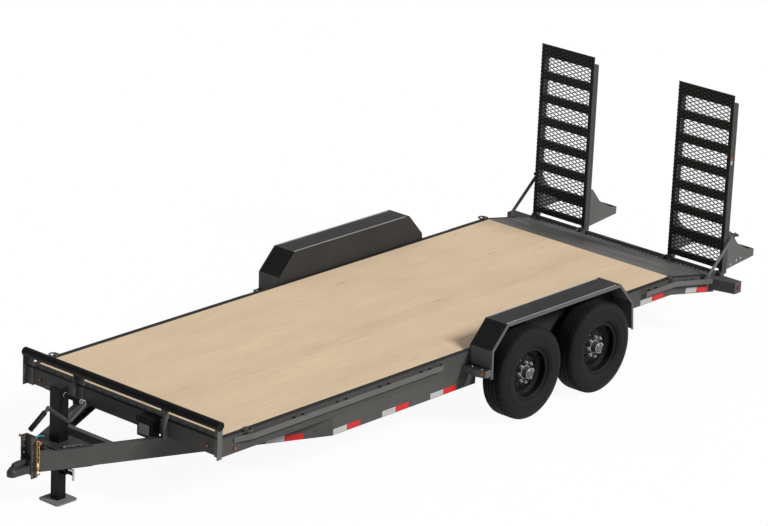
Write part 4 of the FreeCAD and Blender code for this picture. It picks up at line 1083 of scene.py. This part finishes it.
def jack_fittings():
    """Collars and end of the crank's shaft, and the spring plunger with its bracket and pull handle."""
    low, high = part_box("jack_tube")
    x = (low.x + high.x) / 2.0
    shaft_z = high.z - 0.058
    metal = []
    # columns: nearer end, radius, width
    for y, radius, width in ((-0.058, 0.021, 0.012), (-0.235, 0.0185, 0.010), (-0.262, 0.0185, 0.010)):
        collar = round_bar((x, y, shaft_z), (x, y - width, shaft_z), radius, 20)
        modify(collar, "BEVEL", width=0.0015, segments=2)
        metal.append(collar)
    metal.append(round_bar((x, high.y - 0.010, shaft_z), (x, high.y + 0.058, shaft_z), 0.0105, 16))
    pin_low, pin_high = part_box("jack_pin")
    pin_z = (pin_low.z + pin_high.z) / 2.0 + 0.008
    tip_y = pin_low.y - 0.038
    metal.append(round_bar((x, pin_low.y, pin_z), (x, tip_y, pin_z), 0.0070, 12))
    metal.append(block((x, tip_y, pin_z - 0.038), (0.018, 0.011, 0.092), 0.0035, 2))
    hand_over(metal, "jack_collars", "bed", "zinc steel", angle=30.0)
    # columns: y, z, depth, height of the bracket's four plates
    plates = (
        (low.y - 0.022, pin_z + 0.021, 0.044, 0.005), (low.y - 0.022, pin_z - 0.052, 0.044, 0.005),
        (low.y - 0.042, pin_z - 0.0155, 0.005, 0.078), (low.y + 0.0025, pin_z - 0.030, 0.011, 0.060),
    )
    bracket = [block((x, y, z), (0.034, depth, height)) for y, z, depth, height in plates]
    barrel_z = pin_z - 0.030
    bracket.append(round_bar((x, low.y - 0.040, barrel_z), (x, tip_y, barrel_z), 0.0150, 16))
    bracket = joined(bracket, "plunger_bracket")
    modify(bracket, "BEVEL", width=0.0012, segments=1)
    hand_over([bracket], "plunger_bracket", "bed", "black paint")
    crank_sleeves(x, shaft_z, low.y)


def crank_sleeves(x, shaft_z, face_y):
    """Ribbed boot on the crank's shaft, its folding knuckle and the long grip."""
    boot = ring((x, face_y - 0.022, shaft_z), 0.0155, 0.0046, "Y", 20, 8)
    repeat(boot, 18, (0.0, -0.0088, 0.0))
    elbow = Vector((x - 0.172, -0.065, 0.806))
    along = Vector((-0.172, 0.0, -0.120)).normalized()
    grip = round_bar(elbow + along * 0.040, elbow + along * 0.2227, 0.0208, 20)
    sleeves = joined([boot, grip], "crank_sleeves")
    modify(sleeves, "BEVEL", width=0.0015, segments=1, limit_method="ANGLE")
    hand_over([sleeves], "crank_sleeves", "bed", "black paint", angle=50.0)
    knuckle = round_bar(elbow + Vector((0.0, -0.018, -0.002)), elbow + Vector((0.0, 0.010, -0.002)), 0.0195, 20)
    modify(knuckle, "BEVEL", width=0.003, segments=2)
    hand_over([knuckle], "crank_knuckle", "bed", "hub steel", angle=30.0)


def plug_holder():
    """Clips and a rod behind the jack, on its mount plate, that park the wiring plug."""
    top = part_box("jack_mount")[1].z
    pieces = []
    for x, y, size in (
        (-3.474, -0.150, (0.030, 0.018, 0.020)), (-3.405, -0.176, (0.026, 0.016, 0.012)),
        (-3.350, -0.200, (0.022, 0.016, 0.016)),
    ):
        pieces.append(block((x, y, top + size[2] / 2.0), size, 0.003, 2))
    pieces.append(round_bar((-3.474, -0.150, top + 0.012), (-3.350, -0.200, top + 0.010), 0.0045, 12))
    hand_over(pieces, "plug_holder", "bed", "hub steel", angle=30.0)


def rub_rail_noses():
    """Front end of each rub rail: a short straight lead and the strip that turns in to the side rail."""
    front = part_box("header")[0].x
    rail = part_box("side_rail_right")[1].y
    middle_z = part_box("deck_boards")[1].z - RUB_BELOW_DECK - RUB_HEIGHT / 2.0
    tip, bend, end = 0.130, 0.292, 0.522
    bars = ((tip, rail, bend, rail + RUB_GAP), (bend - 0.003, rail + RUB_GAP, end, rail + RUB_GAP))
    for side, sign in SIDES.items():
        nose = []
        for x0, y0, x1, y1 in bars:
            place = (front + (x0 + x1) / 2.0, sign * (y0 + y1 + RUB_THICKNESS) / 2.0, middle_z)
            size = (math.hypot(x1 - x0, y1 - y0), RUB_THICKNESS, RUB_HEIGHT)
            nose.append(block(place, size, 0.0015, 2, (0.0, 0.0, sign * math.atan2(y1 - y0, x1 - x0))))
        # The rub rail ends take the lit frame paint, a painted highlight
        hand_over(nose, "rub_rail_nose_" + side, "bed", "lit frame paint")


class TRAILER_OT_small_fittings(bpy.types.Operator):
    """Adds grommets, studs, bolts, cleats, trim, the jack's fittings and the ends of the rub rails"""

    bl_idname = "trailer.small_fittings"
    bl_label = "Small fittings"

    def execute(self, context):
        for fit in (
            lamp_grommets, header_top, box_panel, lanyard, gusset_bolts, rear_cleats,
            bracket_bolts, jack_fittings, plug_holder, rub_rail_noses,
        ):
            fit()
        return {"FINISHED"}


def white_stage_material():
    """A pale floor that looks white to the camera and keeps the trailer's shadow."""
    material = bpy.data.materials.new("pale floor")
    material.use_nodes = True
    tree = material.node_tree
    tree.nodes.clear()
    kinds = ("OutputMaterial", "BsdfDiffuse", "BsdfDiffuse", "Emission", "MixShader", "MixShader", "LightPath")
    output, shadowed, bright, glow, seen, final, rays = (added_node(tree, kind) for kind in kinds)
    feed(tree, shadowed, Color=(0.5, 0.5, 0.5))
    feed(tree, bright, Color=(0.9, 0.9, 0.9))
    direct = calculate(tree, "MAXIMUM", rays.outputs["Is Camera Ray"], rays.outputs["Is Glossy Ray"])
    direct = calculate(tree, "MAXIMUM", direct, rays.outputs["Is Transmission Ray"])
    for mixer, items in ((seen, (0.06, glow, bright)), (final, (direct, shadowed, seen))):
        for socket, item in zip(mixer.inputs, items):
            give(tree, socket, item.outputs[0] if isinstance(item, bpy.types.Node) else item)
    feed(tree, output, Surface=final.outputs[0])
    return material


def light_up(scene, stage):
    world = bpy.data.worlds.new("studio")
    scene.world = world
    world.use_nodes = True
    tree = world.node_tree
    background = tree.nodes["Background"]
    feed(tree, background, Color=(1.0, 1.0, 1.0))
    rays = added_node(tree, "LightPath")
    seen = calculate(tree, "MAXIMUM", rays.outputs["Is Camera Ray"], rays.outputs["Is Transmission Ray"])
    feed(tree, background, Strength=span(tree, seen, 0.0, 1.0, stage.sky, 1.0))
    light = bpy.data.lights.new("soft sun", "SUN")
    light.energy = stage.sun
    light.angle = math.radians(16.0)
    sun = bpy.data.objects.new("soft sun", light)
    sun.rotation_euler = Vector((0.26, -0.74, 0.62)).to_track_quat("Z", "Y").to_euler()
    scene.collection.objects.link(sun)


def stand_camera(scene, stage):
    data = bpy.data.cameras.new("camera")
    data.sensor_width = 36.0
    data.lens = stage.lens
    data.clip_end = 500.0
    camera = bpy.data.objects.new("camera", data)
    scene.collection.objects.link(camera)
    flat = math.cos(stage.elevation)
    back = Vector((math.sin(stage.azimuth) * flat, -math.cos(stage.azimuth) * flat, math.sin(stage.elevation)))
    right = (-back).cross(UP).normalized()
    rise = right.cross(-back)
    turned_right = right * math.cos(stage.roll) + rise * math.sin(stage.roll)
    turned_up = rise * math.cos(stage.roll) - right * math.sin(stage.roll)
    place = Matrix((turned_right, turned_up, back)).transposed().to_4x4()
    place.translation = Vector(stage.target) + back * stage.distance
    camera.matrix_world = place
    scene.camera = camera


class TRAILER_OT_stage(bpy.types.Operator):
    """Lays the pale floor, hangs the lights and stands the camera where the photograph was taken"""

    bl_idname = "trailer.stage"
    bl_label = "Stage"

    def execute(self, context):
        stage = context.scene.trailer_stage
        deselect_all()
        bpy.ops.mesh.primitive_plane_add(size=160.0, location=(0.0, 0.0, 0.0))
        floor = added()
        floor.name = "floor"
        floor.data.materials.append(white_stage_material())
        light_up(context.scene, stage)
        stand_camera(context.scene, stage)
        context.scene.view_settings.view_transform = "Standard"
        return {"FINISHED"}


OPERATORS = (
    TRAILER_OT_finishes,
    TRAILER_OT_tyres,
    TRAILER_OT_wheel_fittings,
    TRAILER_OT_ramp_mesh,
    TRAILER_OT_tape,
    TRAILER_OT_tread_plate,
    TRAILER_OT_chains,
    TRAILER_OT_small_fittings,
    TRAILER_OT_stage,
)
GROUPS = {"trailer_paint": TrailerPaint, "trailer_sizes": TrailerSizes, "trailer_stage": TrailerStage}


class TRAILER_PT_dressing(bpy.types.Panel):
    """Lists the steps that dress the trailer"""

    bl_idname = "TRAILER_PT_dressing"
    bl_label = "Plant trailer"
    bl_space_type = "VIEW_3D"
    bl_region_type = "UI"
    bl_category = "Trailer"

    def draw(self, context):
        for operator in OPERATORS:
            self.layout.operator(operator.bl_idname)
        for name, group in GROUPS.items():
            box = self.layout.box()
            for label in group.__annotations__:
                box.prop(getattr(context.scene, name), label)


def register():
    for group in GROUPS.values():
        bpy.utils.register_class(group)
    for name, group in GROUPS.items():
        setattr(bpy.types.Scene, name, bpy.props.PointerProperty(type=group))
    for operator in OPERATORS:
        bpy.utils.register_class(operator)
    bpy.utils.register_class(TRAILER_PT_dressing)


def unregister():
    bpy.utils.unregister_class(TRAILER_PT_dressing)
    for operator in reversed(OPERATORS):
        bpy.utils.unregister_class(operator)
    for name, group in GROUPS.items():
        delattr(bpy.types.Scene, name)
        bpy.utils.unregister_class(group)


def main():
    register()
    for operator in OPERATORS:
        family, step = operator.bl_idname.split(".")
        getattr(getattr(bpy.ops, family), step)()


if __name__ == "__main__":
    main()
